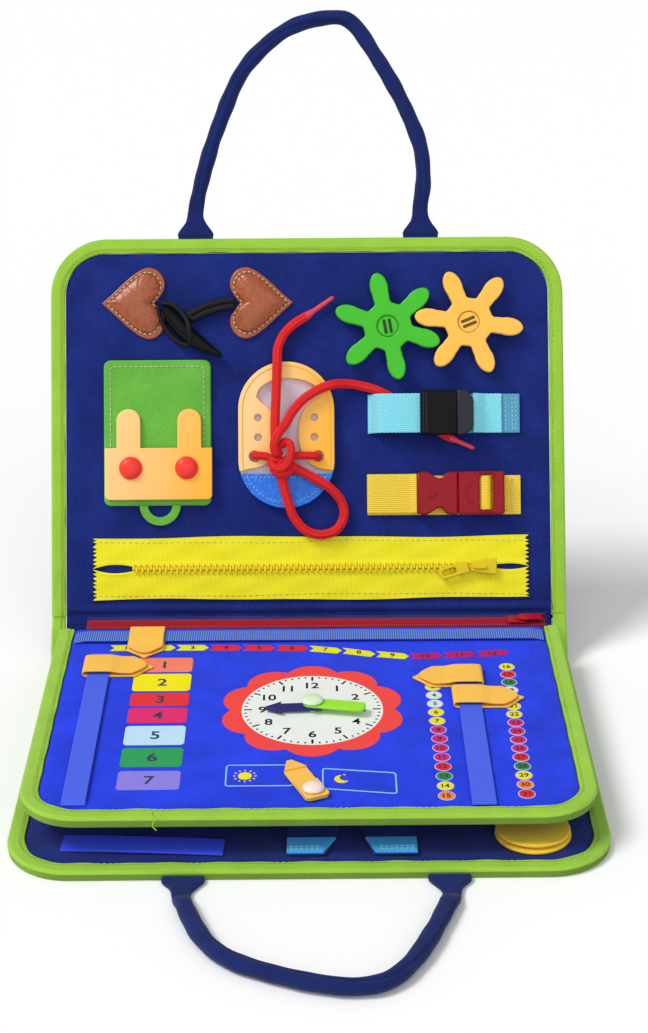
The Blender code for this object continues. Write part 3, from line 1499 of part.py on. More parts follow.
def build():
    """Build every piece in the place of its board."""
    clear_scene()
    fold_y = back_cover_depth - back_cover_front
    lean = math.radians(spine_lean_deg)
    table = frame_at("table_frame", (0, 0, 0))
    spine_frame = frame_at("spine_frame", (0, fold_y, cover_thickness), spine_lean_deg)
    cover_y = fold_y + spine_width * math.cos(lean)
    cover_z = cover_thickness + spine_width * math.sin(lean)
    cover_frame = frame_at("cover_frame", (0, cover_y, cover_z), cover_lean_deg)
    page_frame = frame_at("page_frame", (0, 0, page_top))
    hinge_z = page_top - page_hinge_drop
    root_frame = frame_at("root_frame", (0, page_hinge_back, hinge_z))
    hinge = (0, page_hinge_back, -page_hinge_drop)
    fold_gap = (hinge_z - cover_thickness) * math.cos(lean) \
        - (page_hinge_back - fold_y) * math.sin(lean)
    back_cover(table)
    belly_pieces(table)
    spine(spine_frame)
    front_cover(cover_frame)
    handles(table, cover_frame)
    hearts_and_toggle(cover_frame)
    backpack(cover_frame)
    shoe(cover_frame)
    lace(cover_frame)
    gears(cover_frame)
    clasp(cover_frame)
    buckle(cover_frame)
    yellow_zip(cover_frame)
    page(page_frame, hinge)
    page_root(root_frame, fold_gap)
    ribbons(page_frame, hinge)
    pointers(page_frame)
    clock(page_frame, hinge)
    daypart(page_frame)


build()
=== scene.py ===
"""Looks of a folding felt busy book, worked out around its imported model.

Local lengths are in millimetres. Each board has a place of its own, where X runs along the fold,
Y away from the fold or the reader and Z out of the felt; publish() turns them into metres.
"""

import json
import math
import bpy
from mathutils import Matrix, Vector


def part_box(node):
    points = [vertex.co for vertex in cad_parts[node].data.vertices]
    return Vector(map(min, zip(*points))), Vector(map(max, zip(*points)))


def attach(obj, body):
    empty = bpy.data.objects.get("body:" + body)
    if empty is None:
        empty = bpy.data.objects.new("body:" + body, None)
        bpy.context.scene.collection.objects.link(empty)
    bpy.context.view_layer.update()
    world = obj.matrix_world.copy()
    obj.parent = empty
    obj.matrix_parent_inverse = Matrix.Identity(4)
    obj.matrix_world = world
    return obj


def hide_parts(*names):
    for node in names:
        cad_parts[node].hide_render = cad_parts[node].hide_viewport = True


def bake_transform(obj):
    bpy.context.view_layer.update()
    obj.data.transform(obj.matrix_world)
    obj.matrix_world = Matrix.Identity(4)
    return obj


bl_info = {
    "name": "Felt busy book",
    "version": (1, 0, 0),
    "blender": (4, 5, 0),
    "location": "3D View > Sidebar > Busy Book",
    "description": "Felt, foam, webbing and zips for a folding busy book",
    "category": "Add Mesh",
}

import bmesh
import bpy
import numpy as np
from bpy.props import FloatProperty, FloatVectorProperty, PointerProperty
from mathutils import Matrix, Vector
from mathutils.geometry import tessellate_polygon

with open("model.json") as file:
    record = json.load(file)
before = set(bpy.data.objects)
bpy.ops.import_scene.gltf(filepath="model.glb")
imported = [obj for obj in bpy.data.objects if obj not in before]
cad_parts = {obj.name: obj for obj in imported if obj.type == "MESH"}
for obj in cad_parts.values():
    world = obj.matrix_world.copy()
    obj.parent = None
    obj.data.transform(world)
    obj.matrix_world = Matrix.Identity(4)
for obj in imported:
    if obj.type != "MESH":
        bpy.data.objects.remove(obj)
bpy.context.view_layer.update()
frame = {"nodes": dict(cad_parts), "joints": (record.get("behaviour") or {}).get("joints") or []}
MM = 0.001
joints = {joint["name"]: joint for joint in frame["joints"]}


def place_at(origin, lean=0.0):
    """A place as a 4 by 4 matrix: its origin in metres, turned about X by lean in radians."""
    return np.array(Matrix.Translation(origin) @ Matrix.Rotation(lean, 4, "X"))


cover_axis = joints["green_gear_spin"]["axis"]
cover_lean = math.atan2(-cover_axis[1], cover_axis[2])
fold_a = joints["spine_fold"]["pos_m"]
fold_b = joints["cover_fold"]["pos_m"]
spine_lean = math.atan2(fold_b[2] - fold_a[2], fold_b[1] - fold_a[1])
TABLE = place_at((0, 0, 0))
SPINE = place_at(fold_a, spine_lean)
COVER = place_at(fold_b, cover_lean)
PAGE = place_at((0, 0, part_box("page_panel")[1].z))


def extent(node, place):
    """The lowest and highest corner of a node in a place's own millimetres."""
    mesh = frame["nodes"][node].data
    points = np.zeros(len(mesh.vertices) * 3)
    mesh.vertices.foreach_get("co", points)
    points = points.reshape(-1, 3) - place[:3, 3]
    local = points @ place[:3, :3] / MM
    return local.min(0), local.max(0)


def linear(red, green, blue):
    """A colour given as on a screen, 0 to 255, as linear light."""
    shares = np.array([red, green, blue]) / 255
    return tuple(np.where(shares <= 0.04045, shares / 12.92, ((shares + 0.055) / 1.055) ** 2.4))


class BusyBookColours(bpy.types.PropertyGroup):
    """The main colours."""
    cover_felt: FloatVectorProperty(
        name="Cover felt", description="Felt of the covers and the spine", subtype="COLOR",
        default=linear(22, 38, 112), min=0, max=1)
    page_felt: FloatVectorProperty(
        name="Page felt", description="Printed felt of the clock page", subtype="COLOR",
        default=linear(28, 58, 222), min=0, max=1)
    binding: FloatVectorProperty(
        name="Binding", description="Tape round the boards", subtype="COLOR",
        default=linear(170, 224, 66), min=0, max=1)
    handle: FloatVectorProperty(
        name="Handles", description="Cloth of the two carry loops", subtype="COLOR",
        default=linear(14, 34, 98), min=0, max=1)
    foam: FloatVectorProperty(
        name="Foam", description="Foam of the flap, the shoe and the pointers", subtype="COLOR",
        default=linear(250, 192, 84), min=0, max=1)


class BusyBookSizes(bpy.types.PropertyGroup):
    """Sizes that a user would change."""
    stitch_length: FloatProperty(
        name="Stitch", description="Length of one stitch in millimetres", default=2.3, min=1,
        max=6)
    stitch_gap: FloatProperty(
        name="Stitch gap", description="Space between stitches in millimetres", default=1.1,
        min=0.3, max=4)
    felt_relief: FloatProperty(
        name="Felt relief", description="Height of the felt's slow waves in millimetres",
        default=0.35, min=0, max=1)


def main_colour(name):
    """One of the main colours."""
    return tuple(getattr(bpy.context.scene.busy_book_colours, name))


def sizes():
    return bpy.context.scene.busy_book_sizes


class Link:
    """A shader socket that can be used in Python sums; each sum adds its Math node."""

    def __init__(self, finish, socket):
        self.finish = finish
        self.socket = socket

    def math(self, operation, *values):
        return self.finish.node("ShaderNodeMath", {"operation": operation}, *values)

    def __add__(self, other):
        return self.math("ADD", self, other)

    def __radd__(self, other):
        return self.math("ADD", other, self)

    def __sub__(self, other):
        return self.math("SUBTRACT", self, other)

    def __rsub__(self, other):
        return self.math("SUBTRACT", other, self)

    def __mul__(self, other):
        return self.math("MULTIPLY", self, other)

    def __rmul__(self, other):
        return self.math("MULTIPLY", other, self)

    def __pow__(self, other):
        return self.math("POWER", self, other)

    def __abs__(self):
        return self.math("ABSOLUTE", self)

    def wave(self, length):
        """A sine between 0 and 1 that repeats every length."""
        return self.math("SINE", self * (math.tau / length)) * 0.5 + 0.5


class Finish:
    """A material in the making, with its Principled shader."""

    def __init__(self, name, roughness=0.8, **settings):
        self.material = bpy.data.materials.new(name)
        self.material.use_nodes = True
        self.tree = self.material.node_tree
        self.shader = self.tree.nodes["Principled BSDF"]
        self.shader.inputs["Roughness"].default_value = roughness
        for setting, value in settings.items():
            socket = setting.replace("_", " ").title().replace("Ior", "IOR")
            self.shader.inputs[socket].default_value = value

    def node(self, kind, settings=None, *values, output=0, **named):
        """Add a node, set its properties, then its inputs by order or by name."""
        made = self.tree.nodes.new(kind)
        for key, value in (settings or {}).items():
            setattr(made, key, value)
        for socket, value in [*enumerate(values), *named.items()]:
            target = made.inputs[socket]
            if isinstance(value, Link):
                self.tree.links.new(value.socket, target)
            else:
                target.default_value = value
        return Link(self, made.outputs[output])

    def spot(self):
        return self.node("ShaderNodeTexCoord", output="Object")

    def cloth(self):
        """Millimetres along and across a piece, from its own attribute."""
        found = self.node("ShaderNodeAttribute", {"attribute_name": "cloth"}, output="Vector")
        parts = self.node("ShaderNodeSeparateXYZ", None, found)
        split = parts.socket.node
        return Link(self, split.outputs["X"]), Link(self, split.outputs["Y"])

    def noise(self, scale, detail=2.0):
        return self.node("ShaderNodeTexNoise", None, Vector=self.spot(), Scale=scale,
                         Detail=detail, output="Fac")

    def mix(self, first, second, factor):
        """A colour between two, or links to them."""
        made = self.tree.nodes.new("ShaderNodeMix")
        made.data_type = "RGBA"
        values = {"Factor_Float": factor, "A_Color": first, "B_Color": second}
        for socket in made.inputs:
            value = values.get(socket.identifier)
            if isinstance(value, Link):
                self.tree.links.new(value.socket, socket)
            elif value is not None:
                socket.default_value = value if socket.type == "VALUE" else (*value[:3], 1)
        result = [s for s in made.outputs if s.identifier == "Result_Color"][0]
        return Link(self, result)

    def set(self, socket, value):
        target = self.shader.inputs[socket]
        if isinstance(value, Link):
            self.tree.links.new(value.socket, target)
        else:
            target.default_value = (*value, 1) if socket == "Base Color" else value
        return self

    def bump(self, height, depth_mm, strength=1.0):
        normal = self.node("ShaderNodeBump", None, Strength=strength, Distance=depth_mm * MM,
                           Height=height, output="Normal")
        return self.set("Normal", normal)


def shade(colour, share):
    """A colour made lighter above 1 or darker below 1."""
    return tuple(min(part * share, 1.0) for part in colour)


made_finishes = {}


def once(make):
    """Keep one material for each name and set of values."""
    def kept(*values):
        key = (make.__name__, *[tuple(v) if hasattr(v, "__len__") and not isinstance(v, str)
                                else v for v in values])
        if key not in made_finishes:
            made_finishes[key] = make(*values)
        return made_finishes[key]
    return kept


@once
def felt(name, colour, fuzz=1.0, contrast=1.0):
    """Needle felt: short matted fibres, slow patches of light and dark, and a soft sheen."""
    finish = Finish(name, 0.95, sheen_weight=0.08, specular_ior_level=0.15)
    fibres = finish.noise(1100, 5)
    fine = finish.noise(4200, 3)
    patches = finish.noise(45, 4)
    tone = fibres * 0.55 + patches * 0.45
    tone = finish.node("ShaderNodeMapRange", None, tone, 0.33, 0.67, 0.0, 1.0)
    finish.set("Base Color", finish.mix(shade(colour, 1 - 0.38 * contrast),
                                        shade(colour, 1 + 0.5 * contrast), tone))
    return finish.bump(fibres * 0.7 + fine * 0.5, 0.5 * fuzz, 0.75).material


@once
def twill(name, colour):
    """Binding tape: diagonal ribs with painted light on their rise and painted shade between."""
    finish = Finish(name, 0.75, sheen_weight=0.1, specular_ior_level=0.3)
    along, across = finish.cloth()
    ribs = (along + across * 1.15).wave(1.35)
    yarn = finish.noise(2600, 2)
    slow = finish.noise(70, 3)
    tone = ribs * 0.5 + yarn * 0.2 + slow * 0.3
    # Painted light and shade: the ribs are paler where they rise and darker between them.
    finish.set("Base Color", finish.mix(shade(colour, 0.5), shade(colour, 1.34), tone))
    return finish.bump(ribs * 0.8 + yarn * 0.4, 0.4, 1.0).material


@once
def foam(name, colour, middle=None, half=1.0):
    """Craft foam: smooth and matt, with tiny closed cells; a sheet may get painted light to one
    side.

    Where a middle is given, the painted light runs from peach at middle - half to deep at middle +
    half.
    """
    finish = Finish(name, 0.6, specular_ior_level=0.3)
    cells = finish.noise(3800, 2)
    slow = finish.noise(38, 3)
    low, high = shade(colour, 0.9), shade(colour, 1.08)
    tone = slow * 0.8 + cells * 0.2
    if middle is not None:
        along, across = finish.cloth()
        # Painted light falloff: the sheet is paler towards middle - half and deeper towards middle
        # + half.
        side = (along - middle) * (0.5 / half) - (across - 100) * 0.004 + 0.5
        tone = finish.node("ShaderNodeMapRange", None, side + tone * 0.3 - 0.15)
        low, high = linear(252, 210, 146), linear(252, 184, 54)
    finish.set("Base Color", finish.mix(low, high, tone))
    finish.set("Roughness", 0.5 + cells * 0.15)
    return finish.bump(cells * 0.6 + slow * 0.4, 0.12, 0.5).material


@once
def plastic(name, colour, roughness=0.22, shine=0.3):
    """Moulded plastic: glossy by its shine, with the faint orange peel of its mould."""
    finish = Finish(name, roughness, coat_weight=shine * 0.25, coat_roughness=0.08,
                    specular_ior_level=shine)
    peel = finish.noise(160, 2)
    grain = finish.noise(1500, 2)
    finish.set("Base Color", finish.mix(shade(colour, 0.95), shade(colour, 1.05), peel))
    finish.set("Roughness", roughness + grain * 0.08)
    return finish.bump(peel * 0.7 + grain * 0.2, 0.1, 0.25).material


@once
def leather(name, colour):
    """Glossy leatherette: pebbled grain, with painted shade in its creases."""
    finish = Finish(name, 0.32, coat_weight=0.12, coat_roughness=0.2)
    cells = finish.node("ShaderNodeTexVoronoi", {"feature": "SMOOTH_F1"}, Vector=finish.spot(),
                        Scale=620.0, output="Distance")
    wrinkles = finish.noise(260, 4)
    tone = cells * 0.5 + wrinkles * 0.75
    # Painted shade: the tone follows the wrinkles, darker where they sink into creases.
    finish.set("Base Color", finish.mix(shade(colour, 0.55), shade(colour, 1.35), tone))
    finish.set("Roughness", 0.24 + wrinkles * 0.22)
    return finish.bump(wrinkles - cells * 0.8, 0.4, 0.6).material


@once
def glitter(name, colour):
    """Leatherette with glitter: each small facet has a painted glint, a brightness of its own."""
    finish = Finish(name, 0.3, coat_weight=0.1, specular_ior_level=0.35)
    facets = finish.node("ShaderNodeTexVoronoi", None, Vector=finish.spot(), Scale=1300.0,
                         output="Color")
    facet = finish.node("ShaderNodeSeparateColor", None, facets)
    # Painted glints: a few facets are up to 1.9 times the colour, as if they caught the lamp.
    finish.set("Base Color", finish.mix(shade(colour, 0.75), shade(colour, 1.9), facet ** 3.0))
    finish.set("Roughness", 0.2 + facet * 0.4)
    return finish.bump(facet, 0.15, 0.6).material


@once
def webbing(name, colour):
    """Strap webbing: a plain weave of thick yarns, with painted shade between them."""
    finish = Finish(name, 0.7, sheen_weight=0.08, specular_ior_level=0.3)
    along, across = finish.cloth()
    over = along.wave(2.1) * across.wave(2.3) + (1 - along.wave(2.1)) * (1 - across.wave(2.3))
    ridge = abs(finish.node("ShaderNodeMath", {"operation": "SINE"}, across * (math.tau / 2.3)))
    height = over * 0.6 + ridge * 0.5
    yarn = finish.noise(3000, 2)
    # Painted light and shade: the raised yarns are paler and the gaps between them darker.
    finish.set("Base Color", finish.mix(shade(colour, 0.6), shade(colour, 1.18),
                                        height * 0.8 + yarn * 0.25))
    return finish.bump(height, 0.35, 0.8).material


@once
def ribbed(name, colour, pitch=1.3, contrast=0.6):
    """Grosgrain or zip tape: straight ribs, painted light on their crowns and shade between."""
    finish = Finish(name, 0.6, sheen_weight=0.08, specular_ior_level=0.3)
    along, across = finish.cloth()
    ribs = along.wave(pitch)
    yarn = finish.noise(2400, 2)
    low, high = shade(colour, 1 - contrast * 0.5), shade(colour, 1 + contrast * 0.6)
    # Painted light and shade: each rib is paler on its crown and darker between ribs.
    finish.set("Base Color", finish.mix(low, high, ribs * 0.85 + yarn * 0.15))
    return finish.bump(ribs + yarn * 0.3, 0.2, 0.7).material


@once
def braid(name, colour, light=1.5):
    """Braided cord: two sets of yarns that cross, with painted highlights on their crowns."""
    finish = Finish(name, 0.6, specular_ior_level=0.25)
    along, across = finish.cloth()
    crowns = (along + across).wave(1.7) * (along - across).wave(1.7)
    yarn = finish.noise(3500, 2)
    # Painted highlight: the yarns' crowns are paler by the share light; their dips are painted
    # shade.
    finish.set("Base Color", finish.mix(shade(colour, 0.6), shade(colour, light),
                                        crowns * 0.8 + yarn * 0.25))
    return finish.bump(crowns + yarn * 0.3, 0.25, 0.7).material


@once
def woven(name, colour):
    """Close plain cloth with slow creases in painted light and shade, as on the handles."""
    finish = Finish(name, 0.85, sheen_weight=0.08, specular_ior_level=0.2)
    along, across = finish.cloth()
    threads = along.wave(0.8) * across.wave(0.8)
    slow = finish.noise(90, 3)
    # Painted light and shade: the slow tone gives pale streaks and dark creases across the cloth.
    finish.set("Base Color", finish.mix(shade(colour, 0.4), shade(colour, 1.65),
                                        threads * 0.35 + slow * 0.65))
    return finish.bump(threads * 0.4 + slow, 0.5, 0.6).material


@once
def printed(name, colour):
    """Ink on felt: the felt's fibres still show through it."""
    finish = Finish(name, 0.85, specular_ior_level=0.2)
    fibres = finish.noise(1100, 5)
    patches = finish.noise(90, 3)
    finish.set("Base Color", finish.mix(shade(colour, 0.82), shade(colour, 1.1),
                                        fibres * 0.6 + patches * 0.4))
    return finish.bump(fibres, 0.3, 0.6).material


class Shape:
    """Surfaces gathered into one mesh; points are in a place's own millimetres."""

    def __init__(self):
        self.points = []
        self.cloth = []
        self.faces = []
        self.count = 0

    def add(self, points, faces, cloth=None):
        points = np.asarray(points, float).reshape(-1, 3)
        self.points.append(points)
        self.cloth.append(points if cloth is None else np.asarray(cloth, float).reshape(-1, 3))
        self.faces.extend([[i + self.count for i in face] for face in faces])
        self.count += len(points)
        return self

    def grid(self, points, cloth=None, round_rows=False, caps=(True, True)):
        """Rings of points, one a row, joined to a tube; its first and last may get caps."""
        rows, columns = points.shape[:2]
        index = np.arange(rows * columns).reshape(rows, columns)
        if round_rows:
            index = np.vstack([index, index[:1]])
        index = np.hstack([index, index[:, :1]])
        quads = np.stack([index[:-1, :-1], index[:-1, 1:], index[1:, 1:], index[1:, :-1]], -1)
        faces = quads.reshape(-1, 4).tolist()
        flat = points.reshape(-1, 3)
        extra = [] if cloth is None else [cloth.reshape(-1, 3)]
        ends = []
        for wanted, row in ((caps[0], 0), (caps[1], rows - 1)):
            if wanted:
                middle = len(flat) + len(ends)
                ring = list(range(row * columns, (row + 1) * columns))
                faces += [[middle, ring[(k + 1) % columns], ring[k]] for k in range(columns)]
                ends.append(points[row].mean(0))
                extra += [] if cloth is None else [cloth[row].mean(0)[None]]
        flat = np.vstack([flat, *[end[None] for end in ends]])
        return self.add(flat, faces, None if cloth is None else np.vstack(extra))

    def plate(self, loops, low, high, rounding, steps=4):
        """A die-cut sheet: each closed loop's rim is rounded, and its two faces are filled.

        Loops are counter-clockwise for the rim and clockwise for holes. The rim's profile is a
        quarter circle at each face: inset = r (1 - sin a), height = r (1 - cos a).
        """
        turn = np.linspace(0, math.pi / 2, steps + 1)
        inset = rounding * (1 - np.sin(turn))
        lift = rounding * (1 - np.cos(turn))
        insets = [inset[0] + 0.25, *inset, *inset[::-1], inset[0] + 0.25]
        heights = [low, *(low + lift), *(high - lift[::-1]), high]
        edges = []
        for loop in loops:
            loop = np.asarray(loop, float)
            rings = np.stack([raised(inset_loop(loop, d), h) for d, h in zip(insets, heights)])
            edges.append((self.count, len(loop), rings))
            self.grid(rings, caps=(False, False))
        for row, flip in ((0, True), (-1, False)):
            outlines = [[tuple(point) for point in rings[row]] for _, _, rings in edges]
            numbers = []
            for start, count, rings in edges:
                first = start + (0 if row == 0 else (len(rings) - 1) * count)
                numbers += list(range(first, first + count))
            for a, b, c in tessellate_polygon(outlines):
                face = [numbers[a], numbers[b], numbers[c]]
                self.faces.append(face[::-1] if flip else face)
        return self


def raised(line, height):
    """A flat line's points at a height."""
    return np.column_stack([line, np.full(len(line), height)])


def inset_loop(loop, distance):
    """A closed outline moved to its left by a distance, along the mean of its sides' normals."""
    before = loop - np.roll(loop, 1, 0)
    after = np.roll(loop, -1, 0) - loop
    before = before / np.maximum(np.linalg.norm(before, axis=1, keepdims=True), 1e-9)
    after = after / np.maximum(np.linalg.norm(after, axis=1, keepdims=True), 1e-9)
    first = np.column_stack([-before[:, 1], before[:, 0]])
    second = np.column_stack([-after[:, 1], after[:, 0]])
    share = np.maximum(1 + (first * second).sum(1, keepdims=True), 0.6)
    return loop + distance * (first + second) / share


def publish(name, shape, place, body, finish, node=None, sharp=50):
    """Make the mesh of a shape, put it in its place and let it ride on a body."""
    points = np.vstack(shape.points)
    world = points * MM @ place[:3, :3].T + place[:3, 3]
    mesh = bpy.data.meshes.new(name)
    mesh.from_pydata(world.tolist(), [], shape.faces)
    cloth = mesh.attributes.new("cloth", "FLOAT_VECTOR", "POINT")
    cloth.data.foreach_set("vector", np.vstack(shape.cloth).astype(np.float32).ravel())
    work = bmesh.new()
    work.from_mesh(mesh)
    bmesh.ops.recalc_face_normals(work, faces=work.faces)
    work.to_mesh(mesh)
    work.free()
    mesh.shade_smooth()
    mesh.set_sharp_from_angle(angle=math.radians(sharp))
    mesh.materials.append(finish)
    made = bpy.data.objects.new(name, mesh)
    bpy.context.scene.collection.objects.link(made)
    if body:
        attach(made, body)
    if node:
        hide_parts(node)
    return made


def smooth_path(points, step, closed=False):
    """A Catmull-Rom curve through the points, resampled evenly about every step."""
    points = np.asarray(points, float)
    if closed:
        padded = np.vstack([points[-1:], points, points[:2]])
    else:
        padded = np.vstack([2 * points[0] - points[1], points, 2 * points[-1] - points[-2]])
    t = np.linspace(0, 1, 24, endpoint=False)[None, :, None]
    a, b, c, d = (padded[k:len(padded) - 3 + k, None, :] for k in range(4))
    curve = 0.5 * (2 * b + (c - a) * t + (2 * a - 5 * b + 4 * c - d) * t ** 2
                   + (3 * b - a - 3 * c + d) * t ** 3)
    curve = curve.reshape(-1, points.shape[1])
    curve = np.vstack([curve, points[:1] if closed else points[-1:]])
    return even_path(curve, step, closed)


def lengths_along(path):
    """Each point's distance from the start of its path."""
    return np.concatenate([[0], np.cumsum(np.linalg.norm(np.diff(path, axis=0), axis=1))])


def even_path(curve, step, closed=False):
    """The same path with its points evenly spaced; a closed one drops its repeated end."""
    lengths = lengths_along(curve)
    count = max(int(round(lengths[-1] / step)), 3)
    at = np.linspace(0, lengths[-1], count + 1)
    even = np.column_stack([np.interp(at, lengths, axis) for axis in curve.T])
    return even[:-1] if closed else even


def closed_path(corners, step):
    """A closed outline with straight sides between its corners, evenly spaced."""
    return even_path(np.vstack([corners, corners[:1]]), step, True)


def frames_along(path, up):
    """Unit tangents, sides and normals of a path, the normals as near to up as they can be."""
    tangent = np.gradient(path, axis=0)
    tangent /= np.linalg.norm(tangent, axis=1, keepdims=True)
    side = np.cross(tangent, np.asarray(up, float))
    side /= np.maximum(np.linalg.norm(side, axis=1, keepdims=True), 1e-9)
    return tangent, side, np.cross(side, tangent)


def swept(path, section, up=(0, 0, 1)):
    """A section carried along a path: point = path + side x + normal z.

    The section is rows by columns by 2, or columns by 2 for one that stays the same.
    """
    path = np.asarray(path, float)
    tangent, side, normal = frames_along(path, up)
    section = np.asarray(section, float)
    if section.ndim == 2:
        section = np.repeat(section[None], len(path), 0)
    points = (path[:, None] + side[:, None] * section[..., :1]
              + normal[:, None] * section[..., 1:2])
    along = lengths_along(path)
    step = np.linalg.norm(np.diff(section, axis=1, append=section[:, :1]), axis=2)
    across = np.cumsum(step, axis=1) - step
    cloth = np.stack([np.repeat(along[:, None], section.shape[1], 1), across,
                      np.zeros(across.shape)], -1)
    return points, cloth


def ring(sides, turn=0.0):
    angle = np.arange(sides) / sides * math.tau + turn
    return np.column_stack([np.cos(angle), np.sin(angle)])


def rope(path, radius, sides=18, ribs=0, rib_depth=0.0, taper=(True, True)):
    """A cord: a circle carried along a path, with lengthwise ribs and domed ends.

    Radius at angle a is r (1 + d cos(n a)); near an end it falls as a quarter circle.
    """
    path = np.asarray(path, float)
    lengths = lengths_along(path)
    radii = np.broadcast_to(np.asarray(radius, float), (len(path),)).copy()
    for wanted, away in ((taper[0], lengths), (taper[1], lengths[-1] - lengths)):
        if wanted:
            share = np.clip(away / radii, 0, 1)
            radii = radii * np.sqrt(np.clip(1 - (1 - share) ** 2, 0.02, 1))
    circle = ring(sides, -math.pi / 2)
    wave = 1 + rib_depth * np.cos(ribs * np.arange(sides) / sides * math.tau)
    section = radii[:, None, None] * (circle * wave[:, None])[None]
    return swept(path, section)


def arc(x, y, radius, start, end, steps=12):
    angle = np.radians(np.linspace(start, end, steps + 1))
    return np.column_stack([x + radius * np.cos(angle), y + radius * np.sin(angle)])


def circle_loop(x, y, radius, steps=48, hole=False):
    loop = arc(x, y, radius, 0, 360, steps)[:-1]
    return loop[::-1] if hole else loop


def round_rectangle(left, right, near, far, radius, steps=8):
    """Counter-clockwise rectangle with round corners; radius may be four values."""
    corners = np.broadcast_to(np.asarray(radius, float), (4,))
    spots = ((left, near, 1, 1, 180), (right, near, -1, 1, 270), (right, far, -1, -1, 0),
             (left, far, 1, -1, 90))
    return np.vstack([arc(x + r * sx, y + r * sy, r, start, start + 90, steps)
                      for (x, y, sx, sy, start), r in zip(spots, corners)])


def turned(loop, degrees, x=0.0, y=0.0):
    c, s = math.cos(math.radians(degrees)), math.sin(math.radians(degrees))
    return np.asarray(loop, float) @ np.array([[c, s], [-s, c]]) + (x, y)


def revolved(profile, x, y, sides=48):
    """Rings of a profile of radius and height turned about the vertical through x, y."""
    profile = np.asarray(profile, float)
    circle = ring(sides)
    points = np.empty((len(profile), sides, 3))
    points[..., 0] = x + profile[:, :1] * circle[:, 0]
    points[..., 1] = y + profile[:, :1] * circle[:, 1]
    points[..., 2] = profile[:, 1:2]
    return points


def stitches(path, thread=0.32, length=None, gap=None):
    """A row of stitches along a path: each is a short bowed capsule that dips at its ends.

    Point = centre + tangent u l/2 + side r(u) cos a + up (r(u) sin a + h (1 - u^2) - d),
    for u from -1 to 1, with all stitches worked out at once.
    """
    length = length or sizes().stitch_length
    gap = gap or sizes().stitch_gap
    spacing, sunk = 0.5, 0.1
    path = even_path(np.asarray(path, float), spacing)
    tangent, side, up = frames_along(path, (0, 0, 1))
    step = max(int(round((length + gap) / spacing)), 2)
    at = np.arange(step // 2, len(path) - 1, step)
    u = np.linspace(-1, 1, 7)
    radius = thread * np.sqrt(np.clip(1.04 - u ** 2, 0.04, 1)) ** 0.7
    angle = np.arange(6) / 6 * math.tau
    across = radius[:, None] * np.cos(angle)
    lift = radius[:, None] * np.sin(angle) + (thread * (1 - u ** 2) * 0.8 - sunk)[:, None]
    middle, ahead, beside, above = (part[at][:, None, None] for part in (path, tangent, side, up))
    points = (middle + ahead * (u * length / 2)[:, None, None] + beside * across[..., None]
              + above * lift[..., None])
    shape = Shape()
    for stitch in points:
        shape.grid(stitch)
    return shape


def stitch_rows(lines, **thread):
    """Several rows of stitches as one shape."""
    rows = Shape()
    for line in lines:
        row = stitches(line, **thread)
        rows.add(np.vstack(row.points), row.faces)
    return rows


def lime_tape():
    return twill("Lime twill", main_colour("binding"))


def lime_thread():
    return woven("Lime thread", shade(main_colour("binding"), 1.25))


def navy_felt():
    return felt("Navy felt", main_colour("cover_felt"))


def handle_cloth():
    return woven("Handle cloth", main_colour("handle"))


def orange_foam():
    return foam("Orange foam", main_colour("foam"))


def relief(x, y, amount):
    """Slow waves of the felt: a sum of three crossed sines."""
    wave = (0.5 * np.sin(x / 17 + 1.3) * np.sin(y / 23 + 0.4) + 0.3 * np.sin(x / 7.3 + y / 11)
            + 0.2 * np.sin(y / 4.7 - x / 9.1 + 2))
    return amount * wave


def board(name, place, body, node, half, fold, far, corner, low, high, finish, amount):
    """A stiffened felt board: closed sections from the fold to the far edge.

    Half width at distance d = half - corner + sqrt(corner^2 - (d - D + corner)^2) beyond the
    corners' start. The felt sinks by 0.7 exp(-(e / 2.2)^2) where the binding's seam holds it.
    """
    over, under = 150, 12
    count = over + under
    depth, sign = abs(far - fold), math.copysign(1, far - fold)
    straight = np.arange(0, depth - corner, 1.7)
    bend = np.linspace(0, math.radians(86), 14) if corner else np.array([0.0])
    rows = np.concatenate([straight, depth - corner + corner * np.sin(bend)])
    widths = np.concatenate([np.full(len(straight), half),
                             half - corner + corner * np.cos(bend)])
    u = np.concatenate([np.linspace(-1, 1, over), np.linspace(1, -1, under)])
    column = np.arange(count)
    x = widths[:, None] * u
    y = np.repeat((fold + sign * rows)[:, None], count, 1)
    edge = np.minimum(widths[:, None] - abs(x), depth - rows[:, None])
    lift = relief(x, y, amount) - 0.7 * np.exp(-(edge / 2.2) ** 2)
    z = np.where(column < over, high - 0.1 + lift, low)
    z = np.where((column == 0) | (column == over - 1), high - 1.2, z)
    return publish(name, Shape().grid(np.stack([x, y, z], -1)), place, body, finish, node)


def u_path(half, fold, far, corner, step=1.2):
    """A path from one end of the fold round the far edge to the other, inward to its right."""
    sign = math.copysign(1, far - fold)
    edge = abs(far - fold)
    points = np.vstack([[(-half, 0)], arc(-half + corner, edge - corner, corner, 180, 90, 16),
                        arc(half - corner, edge - corner, corner, 90, 0, 16), [(half, 0)]])
    path = even_path(points, step) * sign
    return raised(path + (0, fold), 0)


